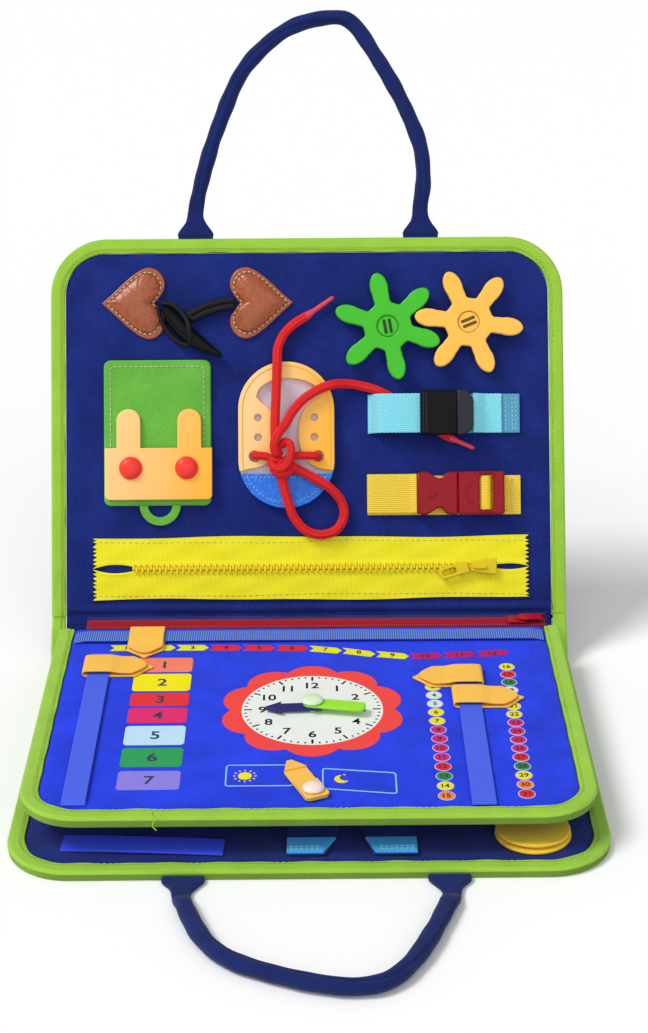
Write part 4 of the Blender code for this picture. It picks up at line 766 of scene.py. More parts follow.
def tape_section(width, low, high, rows, seed):
    """Binding cross-sections: a rounded lip outside, a pressed seam channel near the inside.

    Crown = (1 - |2 t - 0.85|^3.2) / 2, less 0.55 exp(-((t - 0.8) / 0.06)^2) at the seam; small
    slow waves in the inner edge and the crown come from sines of the row.
    """
    t = np.linspace(0, 1, 26)
    crown = np.clip(1 - abs(2 * t - 0.85) ** 3.2, -1, 1) * 0.5
    seam = 0.55 * np.exp(-((t - 0.8) / 0.06) ** 2)
    k = np.arange(rows)[:, None]
    lively = 0.10 * np.sin(k / 2.9 + seed) + 0.09 * np.sin(k / 5.3 + 2 * seed)
    top_x = (t - 0.5) * width + np.where(t > 0.9, 1, 0) * lively * 1.6
    height = high - 0.75 + crown - seam + lively * (t > 0.2)
    height = np.where(t < 0.1, high - 2.2 + 22 * t * (1 - 2.5 * t) + 0 * k, height)
    bottom = np.linspace(0.96, 0.04, 9)
    bottom_x = np.repeat(((bottom - 0.5) * width)[None], rows, 0)
    bottom_z = np.full((rows, len(bottom)), float(low)) + 0.5 * abs(2 * bottom - 1) ** 4
    return np.stack([np.hstack([top_x, bottom_x]), np.hstack([height, bottom_z])], -1)


def binding(name, place, body, node, half, fold, far, corner, width, low, high, seed):
    """Lime tape folded round a board's three free sides, with its row of stitches."""
    path = u_path(half - width / 2, fold, far - math.copysign(width / 2, far - fold),
                  corner - width / 2)
    tape = swept(path, tape_section(width, low, high, len(path), seed))
    publish(name, Shape().grid(*tape), place, body, lime_tape(), node)
    inset = width * 0.8
    seam = u_path(half - inset, fold, far - math.copysign(inset, far - fold), corner - inset)
    seam[:, 2] = high - 0.45
    thread = stitches(seam, thread=0.28, length=2.2, gap=0.9)
    publish(name + "_seam", thread, place, body, lime_thread())


def flat_section(width, thickness, count=28, corner=0.22):
    """A superellipse: x = w/2 sgn(c) |c|^p and z = t/2 sgn(s) |s|^p."""
    spots = ring(count, 0.3)
    return np.sign(spots) * abs(spots) ** corner * (width / 2, thickness / 2)


def band(path, width, thickness, count=28, selvage=0.0, pitch=2.3):
    """A woven band along a path, its two edges looped by the weft."""
    path = np.asarray(path, float)
    section = np.repeat(flat_section(width, thickness, count)[None], len(path), 0)
    along = lengths_along(path)
    edge = abs(section[..., 0]) > width / 2 * 0.9
    section[..., 0] += np.sign(section[..., 0]) * edge * (
        selvage * np.sin(along * math.tau / pitch))[:, None]
    points, _ = swept(path, section)
    cloth = np.stack([np.repeat(along[:, None], count, 1), section[..., 0] + 20,
                      np.zeros(section.shape[:2])], -1)
    return Shape().grid(points, cloth)


def numeral(text, size, x, y, z):
    """A plain number as thin closed letters, centred on x and y."""
    curve = bpy.data.curves.new("numeral", "FONT")
    curve.body = text
    curve.size = size
    curve.extrude = 0.03
    curve.offset = 0.018 * size
    curve.align_x = "CENTER"
    curve.align_y = "CENTER"
    holder = bpy.data.objects.new("numeral", curve)
    mesh = bpy.data.meshes.new_from_object(holder)
    points = np.zeros(len(mesh.vertices) * 3)
    mesh.vertices.foreach_get("co", points)
    points = points.reshape(-1, 3)
    faces = [list(face.vertices) for face in mesh.polygons]
    points[:, :2] -= (points.max(0)[:2] + points.min(0)[:2]) / 2
    points += (x, y, z)
    bpy.data.objects.remove(holder)
    bpy.data.curves.remove(curve)
    bpy.data.meshes.remove(mesh)
    return points, faces


class Piece(bpy.types.Operator):
    """One group of the book's pieces, most of them on one board."""
    bl_options = {"REGISTER", "UNDO"}
    place = COVER
    body = "front_cover"

    def add(self, name, shape, finish, node=None, slot=None, body=None, sharp=50):
        """Publish a shape on the group's board, or on a body that moves over it."""
        return publish(name, shape, self.place, body or self.body, finish, node, sharp)

    def execute(self, context):
        self.build()
        return {"FINISHED"}


class BUSYBOOK_OT_boards(Piece):
    """Felt covers, spine, clock page and the strip that hinges it."""
    bl_idname = "busybook.boards"
    bl_label = "Felt boards"

    def build(self):
        waves = sizes().felt_relief
        half, corner = 141.3, 24.3
        navy = navy_felt()
        royal = felt("Royal felt", main_colour("page_felt"), 0.8, 0.8)
        board("felt_front", COVER, "front_cover", "front_cover_panel", half, 0.15, 213.3, corner,
              -5, 0, navy, waves)
        board("felt_back", TABLE, "back_cover", "back_cover_panel", half, 107.85, -102.3, corner,
              0, 5, navy, waves)
        board("felt_spine", SPINE, "spine", "spine_panel", half, 0.15, 25.85, 0, -5, 0, navy,
              waves)
        low, high = extent("page_panel", PAGE)
        board("felt_page", PAGE, "page", "page_panel", high[0], high[1], low[1], 21.2,
              low[2], high[2], royal, 0.16)
        low, high = extent("page_root_strip", TABLE)
        rim = round_rectangle(low[0], high[0], low[1], high[1], 0.8)
        publish("root_strip", Shape().plate([rim], low[2], high[2], 0.6), TABLE, "page_root",
                navy, "page_root_strip")
        self.hem(navy)

    def hem(self, finish):
        """The cover's rolled foot: height = 1.75 sin(pi v)^0.7 across it, with slow waves."""
        x = np.linspace(-141, 141, 420)
        v = np.linspace(0, 1, 17)
        pinch = 0.12 * abs(np.sin(x * math.pi / 4.5))[:, None]
        rise = (1.75 + 0.15 * np.sin(x / 13)[:, None] + pinch) * np.sin(v * math.pi) ** 0.7
        across = 2.3 + 5.7 * v + 0.1 * np.sin(x / 21)[:, None]
        top = np.stack(np.broadcast_arrays(x[:, None], across, rise - 0.3), -1)
        low = top[:, ::-1] * (1, 1, 0) + (0, 0, -0.9)
        publish("front_hem", Shape().grid(np.concatenate([top, low], 1)), COVER, "front_cover",
                finish)
        seam = raised(raised(x, 8.1), 0.3)
        publish("front_seam", stitches(seam, thread=0.3, length=3.2, gap=1.3), COVER,
                "front_cover", woven("Navy thread", shade(main_colour("cover_felt"), 1.7)))


def bridge(name, x, section, ends, finish, lift=0.0):
    """Cloth over a fold: a section carried from one board's edge to the next, bent by the hinge.

    Ends are two pairs of a place and the distances along it of an outer and an inner point.
    """
    spots = []
    for place, distances in ends:
        spots += [place @ (0, d * MM, lift * MM, 1) for d in distances]
    line = smooth_path(np.array(spots)[:, :3] / MM + (x, 0, 0), 0.6)
    line[:, 0] = x
    cloth = swept(line, section(len(line)), up=(0, -0.7, 0.7))
    made = publish(name, Shape().grid(*cloth), TABLE, None, finish)
    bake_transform(made)


class BUSYBOOK_OT_bindings(Piece):
    """Lime binding round every board."""
    bl_idname = "busybook.bindings"
    bl_label = "Bindings"

    def build(self):
        half, corner, width = 150, 33, 8.4
        binding("tape_front", COVER, "front_cover", "front_cover_binding", half, 1.3, 222, corner,
                width, -5, 1, 1.0)
        binding("tape_back", TABLE, "back_cover", "back_cover_binding", half, 106.7, -111, corner,
                width, 0, 6, 2.2)
        low, high = extent("page_binding", PAGE)
        binding("tape_page", PAGE, "page", "page_binding", high[0], high[1], low[1], 30,
                8.8, low[2], 1, 3.1)
        sides = (("left", -145.8, (1, 1)), ("right", 145.8, (-1, 1)))
        rows = 22
        for side, x, turn in sides:
            path = np.column_stack([np.full(rows, x), np.linspace(1.3, 24.7, rows),
                                    np.zeros(rows)])
            section = tape_section(width, -5, 1, rows, 0.7) * turn
            section[..., 0] *= (1 - 0.10 * np.exp(-((np.arange(rows) - 1) / 2.4) ** 2)
                                - 0.10 * np.exp(-((np.arange(rows) - 20) / 2.4) ** 2))[:, None]
            publish(f"tape_spine_{side}", Shape().grid(*swept(path, section)), SPINE, "spine",
                    lime_tape(), f"spine_binding_{side}")
        board_top = TABLE @ Matrix.Translation((0, 0, 0.005))
        folds = (("low", ((board_top, (104.5, 107)), (SPINE, (0.6, 3.4))),
                  ("back_cover", "spine")),
                 ("high", ((SPINE, (22.4, 25)), (COVER, (0.8, 4))), ("spine", "front_cover")))
        for label, ends, bodies in folds:
            bridge(f"felt_fold_{label}", 0, lambda n: flat_section(282, 1.2, 60, 0.1), ends,
                   navy_felt(), -0.45)
            for side, x, turn in sides:
                bridge(f"tape_fold_{label}_{side}", x,
                       lambda n: tape_section(8.0, -4.3, 0.75, n, 1.7) * turn, ends,
                       lime_tape())


class BUSYBOOK_OT_handles(Piece):
    """Two padded cloth carry loops with flat tabs."""
    bl_idname = "busybook.handles"
    bl_label = "Handles"
    top_route = (
        (-1.0, 0.1), (-0.975, 0.18), (-0.9, 0.33), (-0.79, 0.5), (-0.59, 0.735), (-0.34, 0.88),
        (-0.07, 0.967), (0.26, 1.0), (0.43, 0.965), (0.61, 0.83), (0.79, 0.67), (0.93, 0.515),
        (1.01, 0.39), (1.03, 0.25), (1.0, 0.125))
    bottom_route = (
        (-1.0, 0.17), (-0.94, 0.34), (-0.79, 0.6), (-0.58, 0.77), (-0.23, 0.9), (0.1, 0.98),
        (0.33, 1.0), (0.53, 0.945), (0.69, 0.79), (0.83, 0.56), (0.96, 0.29), (1.0, 0.17))

    def loop(self, name, route, left, right, reach, side, pivot, rise, place):
        """A flattened tube whose section narrows from a wide flat tab: w and t blend by s."""
        spots = [(x * (left if x < 0 else right), side * y * reach) for x, y in route]
        spots = [(-left, 0), (-left, side * reach * 0.05), *spots, (right, side * reach * 0.05),
                 (right, 0)]
        flat = smooth_path(np.column_stack([spots, np.zeros(len(spots))]), 1.1)
        away = abs(flat[:, 1])
        share = np.clip((away - 14) / 12, 0, 1)
        share = share * share * (3 - 2 * share)
        flat[:, 2] = rise * share
        width = 4.5 + 6.1 * np.exp(-(away / 6.5) ** 2)
        thick = 1.5 * (1 - share) + 3.9 * share
        k = np.arange(len(flat))
        width = width * (1 + share * (0.035 * np.sin(k / 5.1) + 0.03 * np.sin(k / 2.3 + 1)))
        sides = 36
        angle = np.arange(sides) / sides * math.tau
        round_share = 1 - 0.62 * (1 - share)[:, None]
        c, s = np.cos(angle), np.sin(angle)
        seam_at = 1.3 + 0.7 * np.sin(k / 41)[:, None]
        groove = 1 - 0.22 * share[:, None] * np.exp(-((angle - seam_at) / 0.17) ** 2)
        x = width[:, None] * np.sign(c) * abs(c) ** round_share * groove
        z = thick[:, None] * np.sign(s) * abs(s) ** round_share * groove
        tube = swept(flat + pivot, np.stack([x, z], -1))
        made = publish(name, Shape().grid(*tube), place, name, handle_cloth(), name)
        seam, roots = [], Shape()
        for foot in (-left, right):
            box = round_rectangle(foot - 7.4, foot + 7.4, 1.6, 8.2, 1.2)
            box[:, 0] = foot + (box[:, 0] - foot) * (1 - 0.06 * (box[:, 1] - 1.6))
            seam.append(raised(box * (1, side), 1.55) + pivot)
            root = round_rectangle(foot - 10.2, foot + 10.2, -3.4, 0.4, 0.4, 2) * (1, side)
            root = root if side > 0 else root[::-1]
            roots.plate([root + pivot[:2]], pivot[2] - 1.1, pivot[2] + 1.1, 0.3, 2)
        publish(f"{name}_roots", roots, place, "front_cover" if side > 0 else "back_cover",
                handle_cloth())
        for index, path in enumerate(seam):
            publish(f"{name}_seam_{index}", stitches(path, thread=0.25), place, name,
                    woven("Handle thread", shade(main_colour("handle"), 1.6)))

    def build(self):
        self.loop("top_handle", self.top_route, 65, 67, 129.1, 1, np.array((0, 223.9, -2)), 0,
                  COVER)
        self.loop("bottom_handle", self.bottom_route, 61, 68, 89.1, -1,
                  np.array((0, -112.9, 1.65)), 2.7, TABLE)


class BUSYBOOK_OT_hearts(Piece):
    """Two stuffed leather hearts, the horn toggle and its cords."""
    bl_idname = "busybook.hearts"
    bl_label = "Hearts and toggle"
    outline = (
        (0.0, 0.0), (0.17, 0.27), (0.38, 0.62), (0.56, 0.87), (0.73, 1.0),
        (0.89, 0.91), (0.985, 0.66), (0.985, 0.4), (0.91, 0.16), (0.83, 0.0))
    level = 183.8

    def heart(self, name, tip, way):
        """Rings from the rim to the crown; h(s) = welt for s near 1, then a stuffed dome.

        Dome = 1.5 + 4.1 (1 - (s / 0.86)^2.4)^0.62, gathered towards its stitches by
        0.2 sin(17 a) + 0.14 sin(29 a + 1).
        """
        spots = [(x * 37, y * 21) for x, y in self.outline]
        spots += [(x, -y) for x, y in spots[-2:0:-1]]
        half = len(self.outline)
        upper = smooth_path(np.array(spots[:half]), 0.55)
        rim = np.vstack([upper, upper[-2:0:-1] * (1, -1)])[::-1]
        centre = np.array((20.3, 0))
        share = np.array([0.02, 0.97, 1.0, 1.0, 0.985, 0.95, 0.91, 0.87, 0.845, 0.82, 0.79, 0.74,
                          0.68, 0.6, 0.5, 0.4, 0.3, 0.2, 0.1, 0.03])
        welt = np.array([0.3, 0.3, 0.45, 1.2, 1.5, 1.6, 1.6, 1.35, 1.2])
        inner = share[len(welt):]
        dome = 1.5 + 4.1 * np.clip(1 - (inner / 0.86) ** 2.4, 0, 1) ** 0.62
        heights = np.concatenate([welt, dome])
        flat = centre + (rim - centre) * share[:, None, None]
        angle = np.arctan2(rim[:, 1], rim[:, 0] - centre[0])
        gather = (0.2 * np.sin(17 * angle) + 0.14 * np.sin(29 * angle + 1)) * np.clip(
            share[:, None] / 0.84, 0, 1) ** 5 * (share[:, None] < 0.86)
        swell = 0.25 * np.sin(flat[..., 0] / 2.7 + tip) * np.sin(flat[..., 1] / 3.6) * (
            share[:, None] < 0.8)
        z = heights[:, None] + gather + swell
        points = np.stack([tip + way * flat[..., 0], self.level + flat[..., 1], z], -1)
        from_rim = (1 - share)[:, None] * np.linalg.norm(rim - centre, axis=1)
        cloth = np.stack([from_rim, flat[..., 1], z], -1)
        made = self.add(name + "_leather", Shape().grid(points, cloth),
                        leather("Brown leather", linear(156, 76, 34)), name, "brown_leather")
        row = centre + (rim - centre) * 0.865
        row = even_path(np.vstack([row, row[:1]]), 0.5)
        path = raised((tip, self.level) + row * (way, 1), 1.75)
        self.add(name + "_stitches", stitches(path, thread=0.36, length=2.1, gap=1.0),
                 woven("Cream thread", linear(240, 215, 175)))

    def build(self):
        self.heart("heart_left", -120, 1)
        self.heart("heart_right", -8.2, -1)
        # Painted highlight: the black cord's crowns are 3.2 times paler.
        black = braid("Black braid", linear(12, 12, 15), 3.2)
        spots = ((-41.5, 185.2, 2.1), (-49, 184.6, 2.2), (-57, 182.6, 2.2), (-64, 179.6, 2.1),
                 (-68.9, 176.4, 2), (-66.6, 174.3, 2), (-60, 177.6, 2.1), (-51, 180.5, 2.2),
                 (-41.5, 182, 2.1))
        cord = rope(smooth_path(np.array(spots), 0.6), 2.0)
        self.add("toggle_loop_cord", Shape().grid(*cord), black, "toggle_loop", "black_cord")
        angle = math.radians(-40)
        along = np.array((math.cos(angle), math.sin(angle), 0))
        across = np.array((-math.sin(angle), math.cos(angle), 0))
        start = np.array((-86.4, 183.1, 1.65))
        s = np.linspace(0, 1, 60)
        bow = 3 * np.sin(math.pi * s)
        path = start + along * (4 + s * 44)[:, None] - across * bow[:, None] + (0, 0, 2.65)
        radius = np.interp(s, np.linspace(0, 1, 7), (0.5, 0.86, 1.0, 0.97, 0.82, 0.55, 0.2)) * 4.9
        radius[0], radius[-1] = 0.5, 0.3
        horn = rope(path, radius, 24, ribs=5, rib_depth=0.03, taper=(False, False))
        self.add("horn_toggle", Shape().grid(*horn),
                 plastic("Black horn", linear(10, 9, 11), 0.3, 0.12), "toggle", "black_horn",
                 body="toggle")
        cords = Shape()
        sides = (((0, 1.0, 0), (6, 4.4, 1.4), (12, 4.6, 3.4), (18, 3.2, 5.6), (23, 0.2, 8.4),
                  (27, -3.6, 7.4), (29.5, -7, 3)),
                 ((0, -1.4, 0), (5, -5.4, 0.6), (11, -8.2, 1), (18, -9.8, 1), (25, -9.4, 1.4),
                  (29, -7.6, 2.6)))
        for spots in sides:
            line = smooth_path(np.array([start + along * d + across * o + (0, 0, z)
                                         for d, o, z in spots]), 0.6)
            cords.grid(*rope(line, 1.5, 16))
        self.add("toggle_cord", cords, black, body="toggle")


class BUSYBOOK_OT_backpack(Piece):
    """Green felt backpack with its foam flap and two snaps."""
    bl_idname = "busybook.backpack"
    bl_label = "Backpack"

    def build(self):
        green = linear(104, 178, 66)
        finish = felt("Green felt", green, 0.6, 0.4)
        rim = round_rectangle(-118.9, -56.5, 65.3, 150.4, 4)
        # Painted highlight: the body's rim is the same green felt made 1.3 times paler.
        self.add("backpack_felt", Shape().plate([rim], 0.3, 1.5, 0.35),
                 felt("Green felt edge", shade(green, 1.3), 0.5, 0.4), "backpack_body",
                 "green_felt")
        inner = round_rectangle(-118.5, -56.9, 65.7, 150.0, 3.7)
        self.add("backpack_front", Shape().plate([inner], 1.3, 2.6, 0.5), finish)
        loop = [arc(-86.3, 65.6, 12, 180, 360, 32), arc(-86.3, 65.6, 7.1, 360, 180, 24)]
        self.add("backpack_ring", Shape().plate([np.vstack(loop)], 0.45, 2.3, 0.4), finish)
        seam = np.vstack([[(-115, 99)], arc(-112.4, 143.9, 2.6, 180, 90, 8),
                          arc(-63, 143.9, 2.6, 90, 0, 8), [(-60.4, 99)]])
        thread = stitches(raised(seam, 2.68), thread=0.34, length=2.2, gap=0.9)
        self.add("backpack_stitches", thread, woven("Pale green thread", linear(190, 235, 170)))
        hinge, strap_end, strap_half = 98.8, 114.6, 6.95
        flap = [arc(-115.2, 71.5, 3, 180, 270, 8), arc(-58.8, 71.5, 3, 270, 360, 8),
                [(-55.8, hinge)]]
        for x in (-69, -104.4):
            flap += [[(x + strap_half, hinge)], arc(x, strap_end, strap_half, 0, 180, 20),
                     [(x - strap_half, hinge)]]
        flap = np.vstack([*flap, [(-118.2, hinge)]])
        # Painted light: the flap pales towards x = -123 and deepens towards x = -51.
        self.add("flap_foam", Shape().plate([flap], 2.9, 5.4, 0.55),
                 foam("Flap foam", main_colour("foam"), -87.0, 36.0), "backpack_flap",
                 "orange_foam", body="backpack_flap")
        for side, x in (("left", -103.1), ("right", -70.6)):
            a = np.linspace(0, math.pi / 2, 10)
            dome = np.column_stack([6.1 * np.cos(a) + 0.02, 6.3 + 2.6 * np.sin(a) ** 1.1])
            profile = [(5.4, 5.7), (6.5, 5.8), (6.7, 6.1), (6.55, 6.5), *dome[1:].tolist()]
            self.add(f"snap_{side}_cap", Shape().grid(revolved(profile, x, 87)),
                     plastic("Red snap", linear(242, 56, 42), 0.35), f"snap_{side}", "red_snap",
                     body="backpack_flap")


class BUSYBOOK_OT_shoe(Piece):
    """Foam shoe with a leather toe, and its lace tied in a knot."""
    bl_idname = "busybook.shoe"
    bl_label = "Shoe and lace"
    quarter = (
        (-0.84, 0.262), (-0.46, 0.293), (-0.29, 0.37), (-0.245, 0.5), (-0.3, 0.65),
        (-0.54, 0.73), (-0.61, 0.77), (-0.5, 0.83), (-0.22, 0.876), (0.08, 0.884),
        (0.42, 0.864), (0.68, 0.81), (0.72, 0.775), (0.42, 0.7), (0.275, 0.59),
        (0.255, 0.46), (0.39, 0.335), (0.64, 0.273), (0.91, 0.257))
    up = ((-16.2, 92.4, 9.2), (-18, 98, 9.2), (-19, 106, 8.6), (-18.9, 115.6, 7.9),
          (-18.3, 128, 7.7), (-17.7, 142, 7.8), (-17.5, 150, 7.6), (-17, 157, 4.4),
          (-13.8, 164.5, 3.1), (-8, 170.6, 3.1), (-0.5, 175.3, 3.1))
    right = ((-17.4, 92.6, 9.8), (-19.4, 98.6, 11.8), (-17.6, 105.4, 12.4), (-13, 111.8, 9.6),
             (-8.6, 119.4, 8), (-2.2, 126.4, 7.8), (7, 132.2, 7.8), (14.4, 134.8, 7.3),
             (21.4, 135.6, 4.5), (30, 134.6, 3.1), (41, 131.4, 3.1), (52, 125.4, 3.1),
             (64, 116.6, 3.1), (75, 108.6, 3.1), (83, 103.6, 3.1))
    loop = ((-15.2, 91, 8.8), (-15.8, 84.6, 8), (-14.4, 76.6, 7), (-11.6, 66.4, 6.6),
            (-8.2, 57.6, 5.5), (-1.6, 50.2, 4.6), (7, 47.6, 4.6), (15.6, 50, 4.6),
            (20.4, 57.2, 4), (19.6, 66, 4.4), (12.6, 74.6, 7), (1.6, 81.4, 7.4),
            (-7.2, 86.2, 8.4), (-12.6, 90, 9))
    middle = -12.5
    toe_level = 91.2
    heel_level = 120.8
    half = 28

    def stadium(self, inset=0.0):
        """The sole's outline, a slot shape standing on end."""
        return np.vstack([self.toe_arc(self.half - inset, 180, 360, 40),
                          self.heel_arc(self.half - inset, 0, 180, 40)])

    def toe_arc(self, radius, start, end, steps):
        return arc(self.middle, self.toe_level, radius, start, end, steps)

    def heel_arc(self, radius, start, end, steps):
        return arc(self.middle, self.heel_level, radius, start, end, steps)

    def lace(self, name, spots, cord, tip=None, diameter=5.2, node=None):
        """A lace with nine lengthwise ribs, and with its tip drawn thin if it has one."""
        path = np.array(spots, float)
        cloth = rope(smooth_path(path, 0.8), diameter / 2, 36, ribs=9, rib_depth=0.075,
                     taper=(True, tip is None))
        # Painted highlight: the lace's crowns are 1.25 times paler.
        finish = braid("Red lace", linear(248, 34, 36), 1.25)
        ends = []
        if tip is not None:
            neck = path[-1]
            reach = np.array(tip) - neck
            line = smooth_path(np.array([neck, neck + reach * 0.25, neck + reach * 0.6, tip]), 0.6)
            width = np.interp(np.linspace(0, 1, len(line)), (0, 0.12, 0.3, 1),
                              (2.6, 2.2, 1.5, 1.25))
            end = Shape().grid(*rope(line, width, 22, taper=(False, True)))
            ends = [self.add(name + "_tip", end, plastic("Lace tip", linear(214, 62, 84), 0.3))]
        made = self.add(name + "_cord", Shape().grid(*cloth), finish, node,
                        "red_lace" if node else None)
        if cord:
            line = smooth_path(path, 1.0)

    def build(self):
        lining = felt("Lavender lining", linear(214, 204, 216), 0.5, 0.3)
        self.add("shoe_floor", Shape().plate([self.stadium(0.3)], 0.3, 1.5, 0.3), lining,
                 "shoe_lining", "lavender_lining")
        toe_half = math.degrees(math.asin((self.toe_level - 83.2) / self.half))
        toe = self.toe_arc(self.half, 180 + toe_half, 360 - toe_half, 40)
        self.add("shoe_toe", Shape().plate([toe], 1.6, 3.6, 0.5),
                 glitter("Blue glitter leather", linear(16, 112, 244)), "shoe_toe_cap",
                 "blue_leather")
        seams = [self.toe_arc(24.8, 200, 340, 60), np.array([(-36, 81.2), (11, 81.2)])]
        rows = stitch_rows([raised(row, 3.66) for row in seams], thread=0.3, length=1.7, gap=0.9)
        self.add("toe_stitches", rows, woven("Pale blue thread", linear(150, 200, 240)))
        cut = math.degrees(math.asin((self.toe_level - 84.8) / self.half))
        outer = np.vstack([self.toe_arc(self.half, 360 - cut, 360, 4),
                           self.heel_arc(self.half, 0, 180, 48),
                           self.toe_arc(self.half, 180, 180 + cut, 4)])
        near = self.toe_level - self.half
        length = self.heel_level + self.half - near
        mouth = smooth_path(np.array([(self.middle + x * self.half, near + y * length)
                                      for x, y in self.quarter]), 0.9)
        holes = [circle_loop(self.middle + side * away, y, radius, 24, True)
                 for side, away, y, radius in (
                     (-1, 16.4, 116, 2.2), (-1, 16.4, 104.5, 2.2), (1, 16.4, 116, 2.2),
                     (1, 16.4, 104.5, 2.2), (-1, 18.6, 93.4, 3.2), (1, 18.6, 93.4, 3.2))]
        # Painted light: the shoe's foam pales towards x = -38 and deepens towards x = 10.
        self.add("shoe_foam", Shape().plate([np.vstack([outer, mouth]), *holes], 1.8, 4.6, 0.45),
                 foam("Shoe foam", main_colour("foam"), -14.0, 24.0), "shoe_upper", "orange_foam")
        # Painted shade: a slightly darker foam cord stands in for the shade in the rim's groove.
        line = np.vstack([self.toe_arc(25.6, 345, 360, 6), self.heel_arc(25.6, 0, 180, 60),
                          self.toe_arc(25.6, 180, 195, 6)])
        groove = rope(raised(even_path(line, 1), 4.5), 0.42, 8)
        self.add("shoe_rim_line", Shape().grid(*groove),
                 foam("Foam line", shade(main_colour("foam"), 0.92)))
        self.lace("lace_up", self.up, dict(far_end="bare"), (15.8, 186.6, 3.1), 5.2,
                  "lace_tail_up")
        self.lace("lace_right", self.right, dict(far_end="bare"), (97, 97.2, 3.1), 5.2,
                  "lace_tail_right")
        self.lace("lace_loop", self.loop, dict(far_end="knot"), None, 5.2, "lace_loop")
        knot = ((-31.4, 93.6, 2.6), (-30.6, 93.8, 6.3), (-25, 93.4, 7.6), (-19, 91.4, 8),
                (-14, 90.6, 8.6), (-8, 93.2, 8.3), (0, 93.6, 7.6), (5.4, 93.2, 6.3),
                (6.3, 92.8, 2.6))
        self.lace("lace_bar", knot, None, None, 4.4, "lace_knot")
        wrap = ((-21.6, 91.6, 8), (-20.4, 87.6, 10.2), (-16.6, 85.6, 12), (-12.6, 87.4, 13.2),
                (-10.4, 92, 13.6), (-9.6, 96.8, 13), (-11, 100.8, 11.4), (-14, 101.2, 10),
                (-15.6, 97.6, 9.6))
        self.lace("lace_wrap", wrap, None, None, 4.5)
        under = ((-21.4, 87.4, 7.4), (-18.4, 83.8, 9.6), (-14, 82.8, 10.4), (-9.8, 85, 9.6),
                 (-8.2, 89.4, 8.4))
        self.lace("lace_under", under, None, None, 4.3)


class BUSYBOOK_OT_gears(Piece):
    """Two meshing plastic flower gears on slotted posts."""
    bl_idname = "busybook.gears"
    bl_label = "Gears"
    arm = ((0.53, 0.15), (0.61, 0.152), (0.69, 0.164), (0.77, 0.163), (0.85, 0.147),
           (0.92, 0.115), (0.975, 0.064), (1.0, 0.0))

    def rim(self, phase, x, y):
        """Six paddle arms and the valleys between them, smoothed."""
        valley = [(share * math.cos(math.radians(angle)), share * math.sin(math.radians(angle)))
                  for share, angle in ((0.44, -30), (0.46, -19), (0.46, 19))]
        spots = [*valley[:2], *[(r, -w) for r, w in self.arm],
                 *[(r, w) for r, w in self.arm[-2::-1]], valley[2]]
        reach = 31.8
        points = [turned(np.array(spots) * reach, middle) for middle in range(0, 360, 60)]
        return turned(smooth_path(np.vstack(points), 0.8, closed=True), phase, x, y)

    def gear(self, name, x, y, phase, tint, slot, pin_turn):
        finish = plastic(slot.replace("_", " "), tint, 0.25)
        bore = circle_loop(x, y, 6.3, 48, True)
        wheel = Shape().plate([self.rim(phase, x, y), bore], 3, 7.2, 0.95, 6)
        collar = [(3.5, 3.1), (6.6, 3.1), (6.6, 5.2), (3.5, 5.2)]
        wheel.grid(revolved(collar, x, y), round_rows=True)
        self.add(name + "_wheel", wheel, finish, name, slot, body=name, sharp=35)
        profile = [(8, 0.3), (8, 1.9), (3.2, 1.9), (3.2, 5.5), (5.6, 5.55), (5.9, 5.8),
                   (5.75, 6.3), (5.2, 6.42), (0.02, 6.42)]
        self.add(name + "_post", Shape().grid(revolved(profile, x, y)), finish, name + "_pin",
                 slot, sharp=35)
        # Painted shadow: dark plates at 0.13 times the gear's colour stand in for the shade inside
        # the post's slots.
        slot_shadows = Shape()
        for near, far in ((-2.5, -0.6), (0.6, 2.5)):
            mark = round_rectangle(-4.3, 4.3, near, far, 0.5, 2)
            slot_shadows.plate([turned(mark, pin_turn, x, y)], 6.3, 6.5, 0.05, 2)
        self.add(name + "_slots", slot_shadows,
                 plastic(slot.replace("_", " ") + " slots", shade(tint, 0.13), 0.6))

    def build(self):
        x, y, spacing, slant, phase = 47, 168.8, 47.4, 2.6, 20.5
        line = math.radians(slant)
        self.gear("green_gear", x, y, slant - phase, linear(58, 188, 22), "green_plastic", 100)
        self.gear("yellow_gear", x + spacing * math.cos(line), y + spacing * math.sin(line),
                  slant + 180 - 30 + phase, linear(255, 190, 74), "yellow_plastic", 22)


